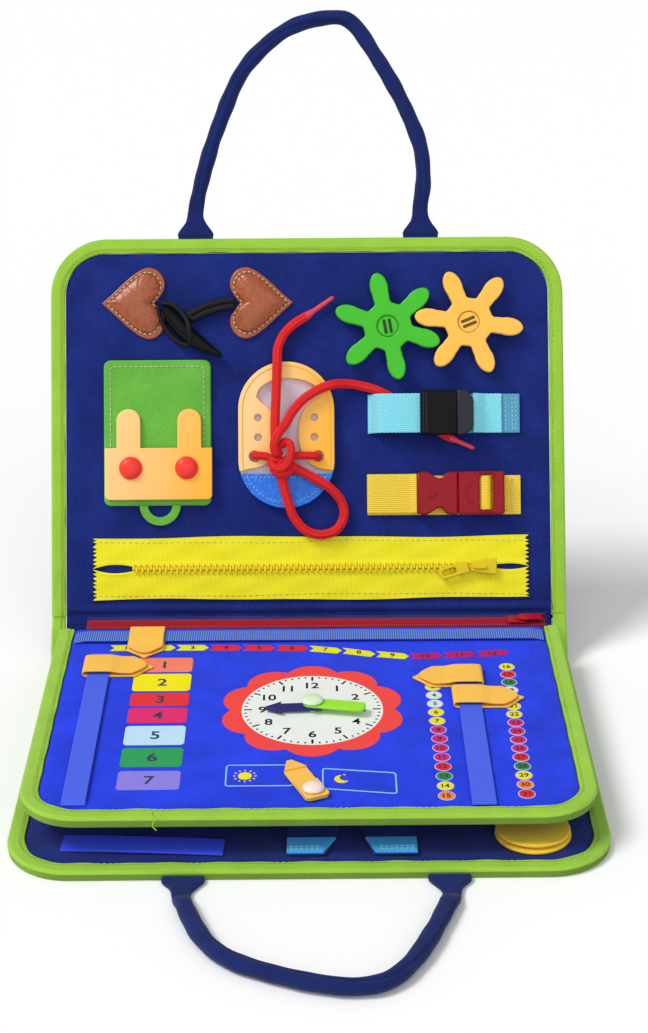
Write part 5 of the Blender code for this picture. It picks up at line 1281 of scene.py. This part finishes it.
class BUSYBOOK_OT_straps(Piece):
    """Light-blue strap with its clasp and yellow strap with its side-release buckle."""
    bl_idname = "busybook.straps"
    bl_label = "Straps and buckles"
    blue_level = 117.9
    gold_level = 71.2

    def strap(self, name, spots, level, body, finish, node=None, slot=None, width=22.8):
        line = smooth_path(np.array([(x, level, z) for x, z in spots]), 0.8)
        self.add(name, band(line, width, 1.3, 34, 0.1), finish, node, slot, body=body)

    def build(self):
        sky = webbing("Sky webbing", linear(134, 224, 246))
        # Painted shade: the strap's base, under the tail and clasp, is the same webbing darkened.
        low = webbing("Sky webbing below", linear(84, 162, 194))
        self.strap("blue_upper", ((35.2, 0.95), (36.6, 1.0), (38.5, 3.4), (41, 6.4),
                                  (44, 7.15), (54, 7.2), (65.3, 7.15)), self.blue_level,
                   "front_cover", sky, "blue_strap", "sky_webbing")
        self.strap("blue_lower", ((89.7, 0.95), (105, 0.95), (123.7, 0.95)), self.blue_level,
                   "front_cover", low, "blue_strap_base", "sky_webbing")
        self.strap("blue_tail", ((96.3, 7.15), (99, 6), (103, 3.1), (106, 2.55), (113, 2.55)),
                   self.blue_level, "blue_clasp", sky, "blue_strap_tail", "sky_webbing")
        dark = plastic("Black plastic", linear(9, 10, 12), 0.32, 0.1)
        grey = plastic("Grey plastic", linear(44, 47, 54), 0.36, 0.12)
        shell = Shape().plate([round_rectangle(65.6, 86.4, 104.95, 130.85, 2.2),
                               round_rectangle(69.6, 84.9, 106.5, 129.3, 1)[::-1]],
                              6.6, 12.4, 0.8)
        shell.plate([round_rectangle(68, 86.2, 105.6, 130.2, 1)], 6.5, 7.9, 0.3)
        shell.plate([round_rectangle(67.4, 86.3, 105.4, 130.4, 1.4)], 11, 12.5, 0.5)
        self.add("clasp_shell", shell, dark, "clasp_housing", "black_plastic")
        lines = Shape()
        for x in (66.8, 68.4):
            lines.plate([round_rectangle(x, x + 0.7, 106.6, 129.2, 0.3)], 12.4, 12.75, 0.12, 2)
        self.add("clasp_lines", lines, grey)
        head = np.vstack([[(86.7, 104.95)], arc(89, 111.95, 7, 270, 360, 10),
                          arc(89, 123.85, 7, 0, 90, 10), [(86.7, 130.85)]])
        tongue = Shape().plate([head], 6.6, 12.2, 0.9)
        tongue.plate([round_rectangle(71, 88, 106.9, 128.9, 0.6)], 8.4, 10.6, 0.3)
        self.add("clasp_slider", tongue, grey, "clasp_tongue", "grey_plastic", body="blue_clasp")
        gold = webbing("Gold webbing", linear(255, 208, 62))
        self.strap("yellow_lower", ((34.6, 0.95), (60, 0.95), (123.8, 0.95)), 70.2,
                   "front_cover", gold, "yellow_strap", "gold_webbing")
        self.strap("yellow_upper", ((34.9, 1.5), (36, 2.45), (44, 2.55), (58.5, 2.6),
                                    (61, 3.6), (63.3, 5.0)), self.gold_level, "front_cover",
                   gold)
        self.strap("yellow_wrap", ((100, 5.4), (101.5, 7), (104, 7.3), (105.6, 6.2),
                                   (106.6, 3), (109, 2.75), (118, 2.75)), self.gold_level,
                   "buckle_plug", gold, "yellow_strap_loop", "gold_webbing", 19.6)
        maroon = plastic("Maroon plastic", linear(148, 6, 26), 0.3, 0.18)
        half = 12.5
        side = smooth_path(np.array([(63.6, half * 0.94), (68.7, half), (76.3, 8.5),
                                     (80.9, half * 0.96), (86.7, half)]), 0.8)
        middle = (0, self.gold_level)
        outline = np.vstack([side * (1, -1), side[::-1]]) + middle
        socket = Shape().plate([outline], 1.9, 8.5, 1.0)
        notch = np.array([(70, -3.6), (75.5, 0), (70, 3.6), (69.2, 3), (73.8, 0), (69.2, -3)])
        socket.plate([notch + middle], 8.3, 9.0, 0.15, 2)
        self.add("buckle_shell", socket, maroon, "buckle_socket", "maroon_plastic")
        rim = round_rectangle(87.1, 114, 58.7, 83.7, 1.6)
        window = round_rectangle(99.4, 107.6, 60.9, 81.5, 0.8)[::-1]
        plug = Shape().plate([rim, window], 3.9, 8.5, 1.0)
        plug.plate([round_rectangle(87.1, 99.6, 58.9, 83.5, 1.2)], 1.9, 5, 0.5)
        for offset, width in ((-6.7, 2.6), (-2, 4), (4.1, 2.6)):
            y = self.gold_level + offset
            plug.plate([round_rectangle(74.5, 89, y, y + width, 0.6)], 3.7, 6.7, 0.4)
        plug.plate([np.vstack([arc(98.6, self.gold_level, 7.4, 118, 242, 18),
                               arc(98.6, self.gold_level, 6.4, 242, 118, 18)])],
                   8.3, 9, 0.15, 2)
        self.add("plug_shell", plug, maroon, "buckle_plug", "maroon_plastic", body="buckle_plug")
        flat = 1.45
        spots = [(self.blue_level, x, z) for x, z in (
            (38.5, 3.6), (41, 7.2), (115.5, flat), (119.5, flat), (121.5, flat))]
        spots += [(self.gold_level, x, flat) for x in (117, 119.4)]
        lines = [raised(np.column_stack([np.full(40, x), np.linspace(level - 10, level + 10, 40)]),
                        z) for level, x, z in spots]
        rows = stitch_rows(lines, thread=0.28, length=1.8, gap=0.8)
        self.add("strap_stitches", rows, woven("Pale thread", linear(190, 225, 236)))


class BUSYBOOK_OT_yellow_zip(Piece):
    """Yellow zip: two pinked tapes, interlocked teeth, slider and pull."""
    bl_idname = "busybook.yellow_zip"
    bl_label = "Yellow zip"
    level = 28.5
    ends = (-125.7, 128.3)

    def drift(self, x, y):
        """How far the cloth wanders across: slow sines that grow towards its outer edges."""
        share = abs(y - self.level) / 18
        return share * (0.5 * np.sin(x / 31 + y) + 0.25 * np.sin(x / 13 + 2 * y))

    def crown(self, x, y):
        """The cloth's top, 1.4 high with shallow crossed waves."""
        return 1.4 + 0.16 * np.sin(x / 9.5 + y / 3) + 0.12 * np.sin(x / 4.7 - y / 2)

    def tape(self, near, far, side):
        """A pinked tape; its inner edge bows out in a lens at each end, where it is unsewn.

        Half gap = 1.25 between the stops, and 0.2 + 1.05 u + a sin(pi u) at an open end, where
        a is 1.7 on the left and 0.9 on the right.
        """
        rows, columns = 240, 15
        start, stop = self.ends
        x = np.linspace(0, 1, rows)[:, None]
        v = np.linspace(0, 1, columns)
        notch = (np.arange(columns) % 2) * 2.4
        along = (start + notch) * (1 - x) + (stop - notch) * x
        left = np.clip((along - start) / 23.5, 0, 1)
        right = np.clip((stop - along) / 18, 0, 1)
        gap = 1.25 + (left < 1) * (1.7 * np.sin(math.pi * left) - 1.05 * (1 - left))
        gap += (right < 1) * (0.9 * np.sin(math.pi * right) - 1.05 * (1 - right))
        inner, outer = self.level + side * gap, (far if side > 0 else near)
        across = inner + (outer - inner) * v
        across = across + self.drift(along, across)
        height = self.crown(along, across) + 0.5 * np.exp(-((v * 17 - 1) / 0.9) ** 2)
        top = np.stack([along, across, height], -1)
        low = np.stack([along, across, np.full(along.shape, 0.25)], -1)[:, ::-1]
        points = np.concatenate([top, low], 1)
        shape = Shape().grid(points, caps=(False, False))
        around = 2 * columns
        for first in (0, (rows - 1) * around):
            shape.faces += [[first + k, first + k + 1, first + around - 2 - k,
                             first + around - 1 - k] for k in range(columns - 1)]
        return shape

    def build(self):
        yellow = linear(244, 232, 20)
        cloth_finish = ribbed("Yellow tape", yellow, 0.9, 0.25)
        tooth_finish = plastic("Yellow teeth", linear(238, 214, 30), 0.35)
        for side, near, far in ((-1, 10.45, 27.25), (1, 29.75, 46.55)):
            tape = self.tape(near, far, side)
            name = "lower" if side < 0 else "upper"
            teeth = Shape()
            pitch, half = 3.4, 0.82
            offset = 0 if side > 0 else pitch / 2
            root, tip = side * 2.85, -side * 1.1
            for x in -101.8 + offset + pitch * np.arange(58):
                outline = round_rectangle(x - half, x + half, self.level + min(root, tip),
                                          self.level + max(root, tip), 0.35, 1)
                teeth.grid(np.stack([raised(inset_loop(outline, d), h) for d, h in (
                    (0, 0.6), (0, 2.5), (0.15, 2.85), (0.45, 3.1))]))
            self.add(f"tape_{name}", tape, cloth_finish, f"zip_{name}_half", "yellow_tape",
                     sharp=40)
            self.add(f"teeth_{name}", teeth, tooth_finish, sharp=40)
            x = np.linspace(-123, 125.5, 500)
            level = self.level + side * 15.4
            line = np.column_stack([x, level + self.drift(x, level), self.crown(x, level)])
            self.add(f"tape_{name}_stitches", stitches(line, thread=0.3, length=2.4, gap=1.1),
                     woven("Yellow thread", linear(252, 246, 110)))
        slider = np.array([(94.3, 25.7), (103, 24.2), (109.3, 24), (109.3, 33), (103, 32.8),
                           (94.3, 31.3)])
        made = Shape().plate([closed_path(slider, 1)], 3.2, 4.9, 0.6)
        made.plate([round_rectangle(95, 103.6, 27, 30, 1.4)], 4.6, 6.2, 0.6)
        metal = plastic("Yellow metal", linear(224, 196, 14), 0.32, 0.2)
        self.add("zip_slider_body", made, metal, "zip_slider", "yellow_plastic", body="zip_slider")
        hung = (16, 93.7, 28.9)
        tab = turned(round_rectangle(-18.4, -1.1, -3.4, 3.4, (2.2, 1.5, 1.5, 2.2)), *hung)
        hole = turned(round_rectangle(-16.4, -8.4, -1.7, 1.7, 1.1)[::-1], *hung)
        self.add("zip_pull_tab", Shape().plate([tab, hole], 3.5, 5.1, 0.5), metal, "zip_pull",
                 "yellow_plastic", body="zip_pull")


class BUSYBOOK_OT_print(Piece):
    """Colours printed on the page: dial, months, weekdays, dates and day and night."""
    bl_idname = "busybook.print"
    bl_label = "Page print"
    place = PAGE
    body = "page"
    dial_centre = (1.8, 9.3)
    sun_centre = (-32.1, -58.7)

    def patch(self, name, loops, colour, low=-0.3, high=0.1):
        shape = Shape()
        for group in loops:
            shape.plate(group, low, high, 0.05, 1)
        self.add(name.lower().replace(" ", "_"), shape, printed(name, colour))

    def dial(self):
        """A white dial on ten petals: circles whose centres lie evenly on a ring."""
        angle = np.radians(np.arange(0, 360, 1.5))
        nearest = np.radians(np.degrees(angle) % 36 - 18)
        ring_radius, petal_radius = 33.8, 15.4
        reach = ring_radius * np.cos(nearest) + np.sqrt(
            petal_radius ** 2 - (ring_radius * np.sin(nearest)) ** 2)
        x, y = self.dial_centre
        petals = np.column_stack([x + reach * np.cos(angle), y + reach * np.sin(angle)])
        self.patch("Red dial rim", [[petals]], linear(242, 74, 70), high=0.06)
        self.patch("White dial", [[circle_loop(x, y, 37.6, 96)]], linear(236, 240, 236),
                   high=0.12)
        ticks = []
        for minute in range(60):
            long = minute % 5 == 0
            half, inner = (0.6, 32) if long else (0.5, 34.8)
            mark = round_rectangle(inner, 36.4, -half, half, 0.2, 1)
            ticks.append([turned(mark, minute * 6, x, y)])
        self.patch("Black ticks", ticks, linear(20, 20, 26), low=0.05, high=0.16)
        numbers = Shape()
        for hour in range(1, 13):
            turn = math.radians(90 - hour * 30)
            numbers.add(*numeral(str(hour), 8.8, x + 26.6 * math.cos(turn),
                                 y + 26.6 * math.sin(turn), 0.16))
        self.add("dial_numbers", numbers, printed("Black ink", linear(20, 20, 26)))

    def months(self):
        yellow, red, pink = linear(232, 228, 28), linear(222, 44, 50), linear(190, 24, 104)
        numbers = Shape()
        groups = {}
        levels = (82.2, 82.2, 82, 81.8, 81.4, 80.9, 80, 77, 72.6, 69.6, 70, 71.6, 73)
        for k in range(12):
            x, tint = -112 + k * 18.7, (yellow, red, yellow, pink)[k // 3]
            loop = np.array([(0, -3.4), (15.4, -3.4), (18.2, 0), (15.4, 3.4), (0, 3.4), (2.6, 0)])
            loop += (x, levels[k])
            loop[1:4, 1] += levels[k + 1] - levels[k]
            groups.setdefault(tint, []).append([loop])
            numbers.add(*numeral(str(k + 1), 5.6, x + 9, (levels[k] + levels[k + 1]) / 2, 0.13))
        for index, (tint, loops) in enumerate(groups.items()):
            self.patch(f"Month ink {index}", loops, tint)
        self.add("month_numbers", numbers, printed("Dark ink", linear(60, 40, 30)))

    def weekdays(self):
        tags = ((69.7, 53, (244, 132, 104)), (50.8, 31.2, (246, 232, 24)),
                (29, 14.5, (228, 52, 60)), (12.3, -3.9, (226, 44, 112)),
                (-7.1, -27, (190, 226, 248)), (-30, -49.1, (46, 160, 92)),
                (-53.1, -71.4, (140, 130, 226)))
        numbers = Shape()
        for index, (far, near, tint) in enumerate(tags):
            self.patch(f"Weekday ink {index}", [[round_rectangle(-96, -64.4, near, far, 2.4)]],
                       linear(*tint))
            numbers.add(*numeral(str(index + 1), 11, -80, (near + far) / 2, 0.13))
        self.add("weekday_numbers", numbers, printed("Grey ink", linear(58, 62, 92)))

    def dates(self):
        tints = {"y": (232, 226, 40), "r": (216, 44, 56), "m": (204, 44, 120),
                 "g": (24, 140, 84), "w": (204, 234, 232), "o": (240, 130, 70)}
        left = "yyywwyymmmmrgyo"
        right = "yrgwwyymmmmrgyor"
        spots = [(67 + k * 0.07, 52.2 - k * 9.38) for k in range(15)]
        spots[0], spots[1] = (67, 48.6), (67, 40.5)
        spots += [(109.2 - k * 0.11, 56 - k * 8.93) for k in range(16)]
        groups, rims = {}, []
        numbers = Shape()
        for day, ((x, y), tint) in enumerate(zip(spots, left + right), 1):
            groups.setdefault(tint, []).append([circle_loop(x, y, 3.9, 28)])
            rims.append([circle_loop(x, y, 4.4, 28)])
            numbers.add(*numeral(str(day), 4.9, x, y, 0.16))
        self.patch("Date rim ink", rims, linear(206, 190, 226), high=0.07)
        for tint, loops in groups.items():
            self.patch(f"Date ink {tint}", loops, linear(*tints[tint]), high=0.12)
        self.add("date_numbers", numbers, printed("Brown ink", linear(70, 50, 40)))

    def day_and_night(self):
        frames = []
        for left, right, top_left, top_right, low_left, low_right in (
                (-42, -7.5, -47.7, -47.7, -68.7, -68.7), (6.6, 43.9, -51.4, -56.4, -71.6, -77.1)):
            corners = np.array([(left, low_left), (right, low_right), (right, top_right),
                                (left, top_left)])
            loop = []
            for k in range(4):
                here, before, after = corners[k], corners[k - 1], corners[(k + 1) % 4]
                a = here + (before - here) / np.linalg.norm(before - here) * 2.4
                b = here + (after - here) / np.linalg.norm(after - here) * 2.4
                t = np.linspace(0, 1, 7)[:, None]
                loop.append((1 - t) ** 2 * a + 2 * t * (1 - t) * here + t ** 2 * b)
            loop = np.vstack(loop)
            frames.append([loop, inset_loop(loop, 0.8)[::-1]])
        self.patch("Pale blue ink", frames, linear(150, 200, 250))
        suns = [[circle_loop(*self.sun_centre, 3.5, 32)]]
        ray = round_rectangle(4.6, 6.0, -0.35, 0.35, 0.15, 1)
        suns += [[turned(ray, k * 30, *self.sun_centre)] for k in range(12)]
        moon = np.vstack([arc(16.5, -62.3, 3.8, 60, 330, 24), arc(18.6, -61, 3.2, 290, 95, 16)])
        self.patch("Sun ink", [*suns, [moon]], linear(240, 226, 30))

    def build(self):
        self.dial()
        self.months()
        self.weekdays()
        self.dates()
        self.day_and_night()


class BUSYBOOK_OT_pointers(Piece):
    """Ribbons across the page, the foam pointers that slide on them and the red zip."""
    bl_idname = "busybook.pointers"
    bl_label = "Ribbons, pointers and red zip"
    place = PAGE
    body = "page"

    def pointer(self, name, x, y, degrees, length):
        """A foam strip folded round its ribbon, its two layers meeting in a pointed tip.

        Below, the width falls evenly to a tenth over 9 before the tip; the layer above stops
        3 short and rounds off, its width falling as the share left to the power 0.62.
        """
        tip = length - 8.9
        spots = np.array([(tip, 0.95), (tip - 10, 0.78), (0, 0.75), (-6.6, 0.8), (-8.4, 1.5),
                          (-8.5, 2.7), (-7, 3.6), (0, 3.75), (6.4, 3.6), (9.6, 3.0),
                          (13, 2.6), (tip - 8, 2.55), (tip - 3.4, 2.5)])
        line = smooth_path(spots, 0.7)
        upper = np.maximum.accumulate(line[:, 0] < -7)
        reach = np.where(upper, tip - 3, tip)
        share = np.clip((reach - line[:, 0]) / np.where(upper, 8.0, 9.0), 0.02, 1)
        width = np.where(upper, share ** 0.62 * 19.6, np.maximum(share, 0.1) * 20.8)
        base = flat_section(1, 1, 28)
        across = base[:, 0] * width[:, None]
        thick = np.repeat(base[None, :, 1] * 0.85, len(line), 0)
        path = np.column_stack([line[:, 0], np.zeros(len(line)), line[:, 1]])
        tangent = np.gradient(path, axis=0)
        tangent /= np.linalg.norm(tangent, axis=1, keepdims=True)
        normal = np.column_stack([-tangent[:, 2], np.zeros(len(path)), tangent[:, 0]])
        side = np.array((0, 1, 0))
        points = path[:, None] + side * across[..., None] + normal[:, None] * thick[..., None]
        flat = turned(points[..., :2].reshape(-1, 2), degrees, x, y).reshape(*points.shape[:2], 2)
        points = np.dstack([flat, points[..., 2]])
        self.add(name + "_foam", Shape().grid(points), orange_foam(), name, "orange_foam",
                 body=name)

    def ribbon(self, name, start, end, finish, node, slope):
        line = even_path(np.array([start, end], float), 0.9)
        share = np.linspace(0, 1, len(line))
        away = np.minimum(share, 1 - share) * math.dist(start, end)
        line[:, 2] = 0.55 + 1.15 * np.clip(away / slope, 0, 1)
        line[:, 2] += 0.08 * np.sin(share * 23)
        self.add(name, band(line, 12, 0.6, 26, 0.06, 1.3), finish, node, "blue_ribbon")

    def build(self):
        # Painted highlights: the month ribbon's ribs are drawn much paler on their crowns.
        bright = ribbed("Bright ribbon", linear(74, 108, 232), 1.3, 1.5)
        plain = ribbed("Plain ribbon", linear(64, 94, 236), 1.1, 0.5)
        self.ribbon("month_band", (-133, 93.5, 0), (133, 93.5, 0), bright, "month_ribbon", 6)
        self.ribbon("weekday_band", (-115.5, 74, 0), (-115.5, -86.5, 0), plain, "weekday_ribbon",
                    4)
        self.ribbon("date_band", (85.8, 57.6, 0), (85.8, -88.5, 0), plain, "date_ribbon", 0.8)
        self.pointer("month_pointer", -92, 93.5, -90, 34)
        self.pointer("weekday_pointer", -115.5, 57, 0, 38)
        self.pointer("date_pointer_upper", 85.8, 42.5, 180, 38)
        self.pointer("date_pointer_lower", 85.8, 19, 0, 38)
        red = ribbed("Red tape", linear(146, 8, 36), 1.1, 0.5)
        low, high = extent("red_zip_tape", PAGE)
        tape = Shape().plate([round_rectangle(low[0], high[0], low[1] + 1.2, high[1], 0.5, 1)],
                             low[2], -0.05, 0.25, 2)
        self.add("red_tape_cloth", tape, red, "red_zip_tape", "red_tape")
        s = np.arange(low[0] + 3, high[0] - 3, 0.3)
        section = np.repeat(flat_section(4, 1, 16, 0.5)[None], len(s), 0)
        section[..., 1] *= (0.5 + 0.5 * abs(np.sin(s * math.pi / 1.5)))[:, None]
        coil = swept(raised(raised(s, 112), -0.1), section)
        self.add("red_coil", Shape().grid(*coil),
                 plastic("Red coil", linear(160, 14, 44), 0.45, 0.12))
        metal = plastic("Red metal", linear(170, 10, 40), 0.35, 0.15)
        slider = Shape().plate([round_rectangle(114, 125, 107.9, 116.1, 1.6)], 0.8, 1.9, 0.35)
        slider.plate([round_rectangle(118, 123.5, 110.8, 113.2, 1)], 1.7, 2.6, 0.35)
        self.add("red_slider_body", slider, metal, body="red_zip_slider")
        hinge = 120.5
        pull = Shape().plate([round_rectangle(hinge, 140.5, 108.3, 115.7, (2, 3.6, 3.6, 2)),
                              circle_loop(137, 112, 2.5, 28, True)], 2.3, 3.6, 0.45)
        top = extent("red_zip_slider", PAGE)[1][2]
        points = np.vstack(pull.points)
        points[:, 2] += (points[:, 0] - hinge) * math.tan(math.radians(4))
        points[:, 2] = np.minimum(points[:, 2], top)
        pull.points = [points]
        self.add("red_pull", pull, metal, "red_zip_slider", "red_metal", body="red_zip_slider")


class BUSYBOOK_OT_clock(Piece):
    """Clock hands on their pin, and the pointer for day and night."""
    bl_idname = "busybook.clock"
    bl_label = "Clock hands"
    place = PAGE
    body = "page"
    pin = (1.8, 8.3)
    rivet = (2.2, -77)

    def cap(self, name, x, y, low, high, radius, finish, node, slot):
        a = np.linspace(0, math.pi / 2, 12)
        profile = [(1.9, 0.15), (1.9, low), (radius * 0.9, low + 0.05), (radius, low + 0.4)]
        profile += np.column_stack([radius * np.cos(a[1:]) + 0.02,
                                    low + 0.4 + (high - low - 0.4) * np.sin(a[1:])]).tolist()
        self.add(name, Shape().grid(revolved(profile, x, y)), finish, node, slot)

    def build(self):
        arrow = np.array([(-5, -3.2), (17, -3.2), (16.2, -5.5), (25, -0.6), (25, 0.6),
                          (16.2, 5.5), (17, 3.2), (-5, 3.2)])
        rim = turned(closed_path(arrow, 0.7), 183, *self.pin)
        hole = circle_loop(*self.pin, 2.5, 24, True)
        self.add("hour_arrow", Shape().plate([rim, hole], 1.4, 3.2, 0.35),
                 plastic("Navy plastic", linear(26, 36, 110), 0.35), "hour_hand", "navy_plastic",
                 body="hour_hand")
        bar = turned(round_rectangle(-5, 28.5, -4.3, 4.3, (4, 2.6, 2.6, 4)), -11, *self.pin)
        self.add("minute_bar", Shape().plate([bar, hole], 3.7, 5.5, 0.5),
                 plastic("Lime plastic", linear(150, 232, 50), 0.35), "minute_hand",
                 "lime_plastic", body="minute_hand")
        self.cap("clock_hub", *self.pin, 6, 8.6, 6,
                 plastic("Pale hub", linear(214, 236, 204), 0.3), "clock_pin", "pale_cap")
        blade = np.array([(-6.5, -4.6), (-4.9, -6.25), (23, -6.25), (31.5, -1.4), (31.5, 1.4),
                          (23, 6.25), (-4.9, 6.25), (-6.5, 4.6)])
        aim, step = (113, *self.rivet), 0.9
        hole = circle_loop(*self.rivet, 2.2, 24, True)
        shape = Shape().plate([turned(closed_path(blade, step), *aim), hole], 0.6, 1.8, 0.35)
        short = np.array([(-6.9, -5), (-5.4, -6.4), (9.4, -6.1), (9.4, 6.1), (-5.4, 6.4),
                          (-6.9, 5)])
        shape.plate([turned(closed_path(short, step), *aim), hole], 1.9, 3.2, 0.35)
        point = closed_path(blade[2:6], step) * (1, 0.98)
        shape.plate([turned(point, *aim)], 1.7, 2.9, 0.35)
        self.add("daypart_foam", shape, orange_foam(), "daypart_pointer", "orange_foam",
                 body="daypart_pointer")
        self.cap("daypart_cap", *self.rivet, 3.5, 6.5, 5.6,
                 plastic("Pearl cap", linear(246, 222, 212), 0.25), "daypart_rivet",
                 "pink_rivet")


class BUSYBOOK_OT_belly(Piece):
    """Pieces sewn inside the back cover: trousers, pouch and strip."""
    bl_idname = "busybook.belly"
    bl_label = "Back cover pieces"
    place = TABLE
    body = "back_cover"

    def build(self):
        shares = ((-0.5, 0.0), (-0.2, 0.0), (-0.03, 0.42), (0.03, 0.42), (0.16, 0.0), (0.5, 0.0),
                  (0.5, 0.62), (0.34, 0.7), (0.34, 1.0), (-0.34, 1.0), (-0.34, 0.7),
                  (-0.5, 0.62))
        middle, width = 21, 64
        rim = np.array([(middle + x * width, -98.3 + y * 91) for x, y in shares])
        self.add("trousers", Shape().plate([closed_path(rim, 1.4)], 5.3, 6.9, 0.5),
                 felt("Denim felt", linear(26, 48, 128), 0.7, 0.5), "dungarees", "sky_felt")
        cuffs = Shape()
        for corners in (((-0.5, 0), (-0.22, 0), (-0.12, 0.145), (-0.5, 0.145)),
                        ((0.18, 0), (0.5, 0), (0.5, 0.145), (0.1, 0.145))):
            cuff = np.array([(middle + x * width, -98.8 + y * 92) for x, y in corners])
            cuffs.plate([closed_path(cuff, 1.2)], 6.6, 8.2, 0.5)
        self.add("trouser_cuffs", cuffs, felt("Sky felt", linear(66, 166, 238), 0.7, 0.5))
        lines = [raised(raised(np.linspace(a, b, 40), y), 8.25)
                 for a, b in ((-9.6, 5.4), (34.5, 51.5)) for y in (-96.6, -94.2)]
        rows = stitch_rows(lines, thread=0.3, length=1.8, gap=0.9)
        self.add("trouser_stitches", rows, woven("Sky thread", linear(150, 205, 240)))
        orange = felt("Orange felt", linear(255, 202, 62), 0.5, 0.4)
        pouch = Shape().plate([circle_loop(111, -80.3, 19, 72)], 5.3, 7.0, 0.7)
        lip = Shape().plate([circle_loop(111, -79.3, 18.6, 72)], 7.2, 8.9, 0.75)
        points = np.vstack(lip.points)
        points[:, 2] += 1.2 * np.clip((-70 - points[:, 1]) / 28, 0, 1) ** 2
        pouch.add(points, lip.faces)
        self.add("pouch", pouch, orange, "round_pouch", "orange_felt")
        line = smooth_path(np.array([(-122, -85.6, 5.7), (-96, -87.6, 6.3), (-68, -89.2, 6.2),
                                     (-42, -90.6, 5.7)]), 0.9)
        strip = band(line, 14, 0.9, 26, 0.06, 1.3)
        self.add("inner_strip", strip, ribbed("Royal strip", linear(52, 78, 236), 1.3, 0.3))
        thread = smooth_path(np.array([(-76, -93, 1), (-76.4, -97, 1.6), (-74.6, -100, 0.6),
                                       (-75.6, -102.4, -1.4), (-73.4, -104, -3.2)]), 0.4)
        publish("loose_thread", Shape().grid(*rope(thread, 0.24, 8)), PAGE, "page",
                lime_thread())


class BUSYBOOK_OT_stage(Piece):
    """Camera, light and a white ground."""
    bl_idname = "busybook.stage"
    bl_label = "Stage"

    def lamp(self, name, away, spread, power):
        """A soft distant lamp in the direction given, its disc spread degrees wide."""
        light = bpy.data.lights.new(name, "SUN")
        light.angle = math.radians(spread)
        light.energy = power
        lamp = bpy.data.objects.new(name, light)
        lamp.rotation_euler = Vector(away).to_track_quat("Z", "Y").to_euler()
        bpy.context.scene.collection.objects.link(lamp)

    def build(self):
        scene = bpy.context.scene
        scene.view_settings.view_transform = "Standard"
        lens = bpy.data.cameras.new("camera")
        lens.lens = 72.70
        lens.sensor_width = 36
        camera = bpy.data.objects.new("camera", lens)
        pitch, roll, yaw = (math.radians(v) for v in (23.68, 0.34, -0.21))
        high = np.array((0, math.sin(pitch), math.cos(pitch)))
        forward = np.array((0, math.cos(pitch), -math.sin(pitch)))
        across = math.cos(roll) * np.array((1, 0, 0)) - math.sin(roll) * high
        above = math.sin(roll) * np.array((1, 0, 0)) + math.cos(roll) * high
        turn = Matrix(np.column_stack([across, above, -forward]).tolist()).to_4x4()
        camera.matrix_world = (Matrix.Translation((0.0050, -0.9649, 0.5664))
                               @ Matrix.Rotation(yaw, 4, "Z") @ turn)
        scene.collection.objects.link(camera)
        scene.camera = camera
        self.lamp("key", (-0.57, -0.13, 0.81), 22, 1.9)
        self.lamp("front fill", (0.05, -0.84, 0.54), 60, 0.8)
        world = bpy.data.worlds.new("white")
        world.use_nodes = True
        tree = world.node_tree
        rays = tree.nodes.new("ShaderNodeLightPath")
        back = tree.nodes["Background"]
        level = tree.nodes.new("ShaderNodeMix")
        level.inputs["A"].default_value = 0.42
        level.inputs["B"].default_value = 1.0
        tree.links.new(rays.outputs["Is Camera Ray"], level.inputs["Factor"])
        tree.links.new(level.outputs["Result"], back.inputs["Strength"])
        back.inputs["Color"].default_value = (1, 1, 1, 1)
        scene.world = world
        mesh = bpy.data.meshes.new("ground")
        mesh.from_pydata([(-6, -6, 0), (6, -6, 0), (6, 6, 0), (-6, 6, 0)], [], [(0, 1, 2, 3)])
        ground = bpy.data.objects.new("ground", mesh)
        finish = Finish("White ground", 0.9)
        finish.shader.inputs["Base Color"].default_value = (0.97, 0.97, 0.97, 1)
        mesh.materials.append(finish.material)
        scene.collection.objects.link(ground)


pieces = (BUSYBOOK_OT_boards, BUSYBOOK_OT_bindings, BUSYBOOK_OT_handles, BUSYBOOK_OT_hearts,
          BUSYBOOK_OT_backpack, BUSYBOOK_OT_shoe, BUSYBOOK_OT_gears, BUSYBOOK_OT_straps,
          BUSYBOOK_OT_yellow_zip, BUSYBOOK_OT_print, BUSYBOOK_OT_pointers, BUSYBOOK_OT_clock,
          BUSYBOOK_OT_belly, BUSYBOOK_OT_stage)


class BUSYBOOK_PT_panel(bpy.types.Panel):
    """Lists the book's pieces and settings."""
    bl_label = "Busy Book"
    bl_space_type = "VIEW_3D"
    bl_region_type = "UI"
    bl_category = "Busy Book"

    def draw(self, context):
        for group in (context.scene.busy_book_colours, context.scene.busy_book_sizes):
            for name in group.bl_rna.properties.keys():
                if name not in ("rna_type", "name"):
                    self.layout.prop(group, name)
        for piece in pieces:
            self.layout.operator(piece.bl_idname)


classes = (BusyBookColours, BusyBookSizes, *pieces, BUSYBOOK_PT_panel)


def register():
    for each in classes:
        bpy.utils.register_class(each)
    bpy.types.Scene.busy_book_colours = PointerProperty(type=BusyBookColours)
    bpy.types.Scene.busy_book_sizes = PointerProperty(type=BusyBookSizes)


def unregister():
    del bpy.types.Scene.busy_book_colours
    del bpy.types.Scene.busy_book_sizes
    for each in reversed(classes):
        bpy.utils.unregister_class(each)


def main():
    register()
    for piece in pieces:
        group, name = piece.bl_idname.split(".")
        getattr(getattr(bpy.ops, group), name)()


if __name__ == "__main__":
    main()
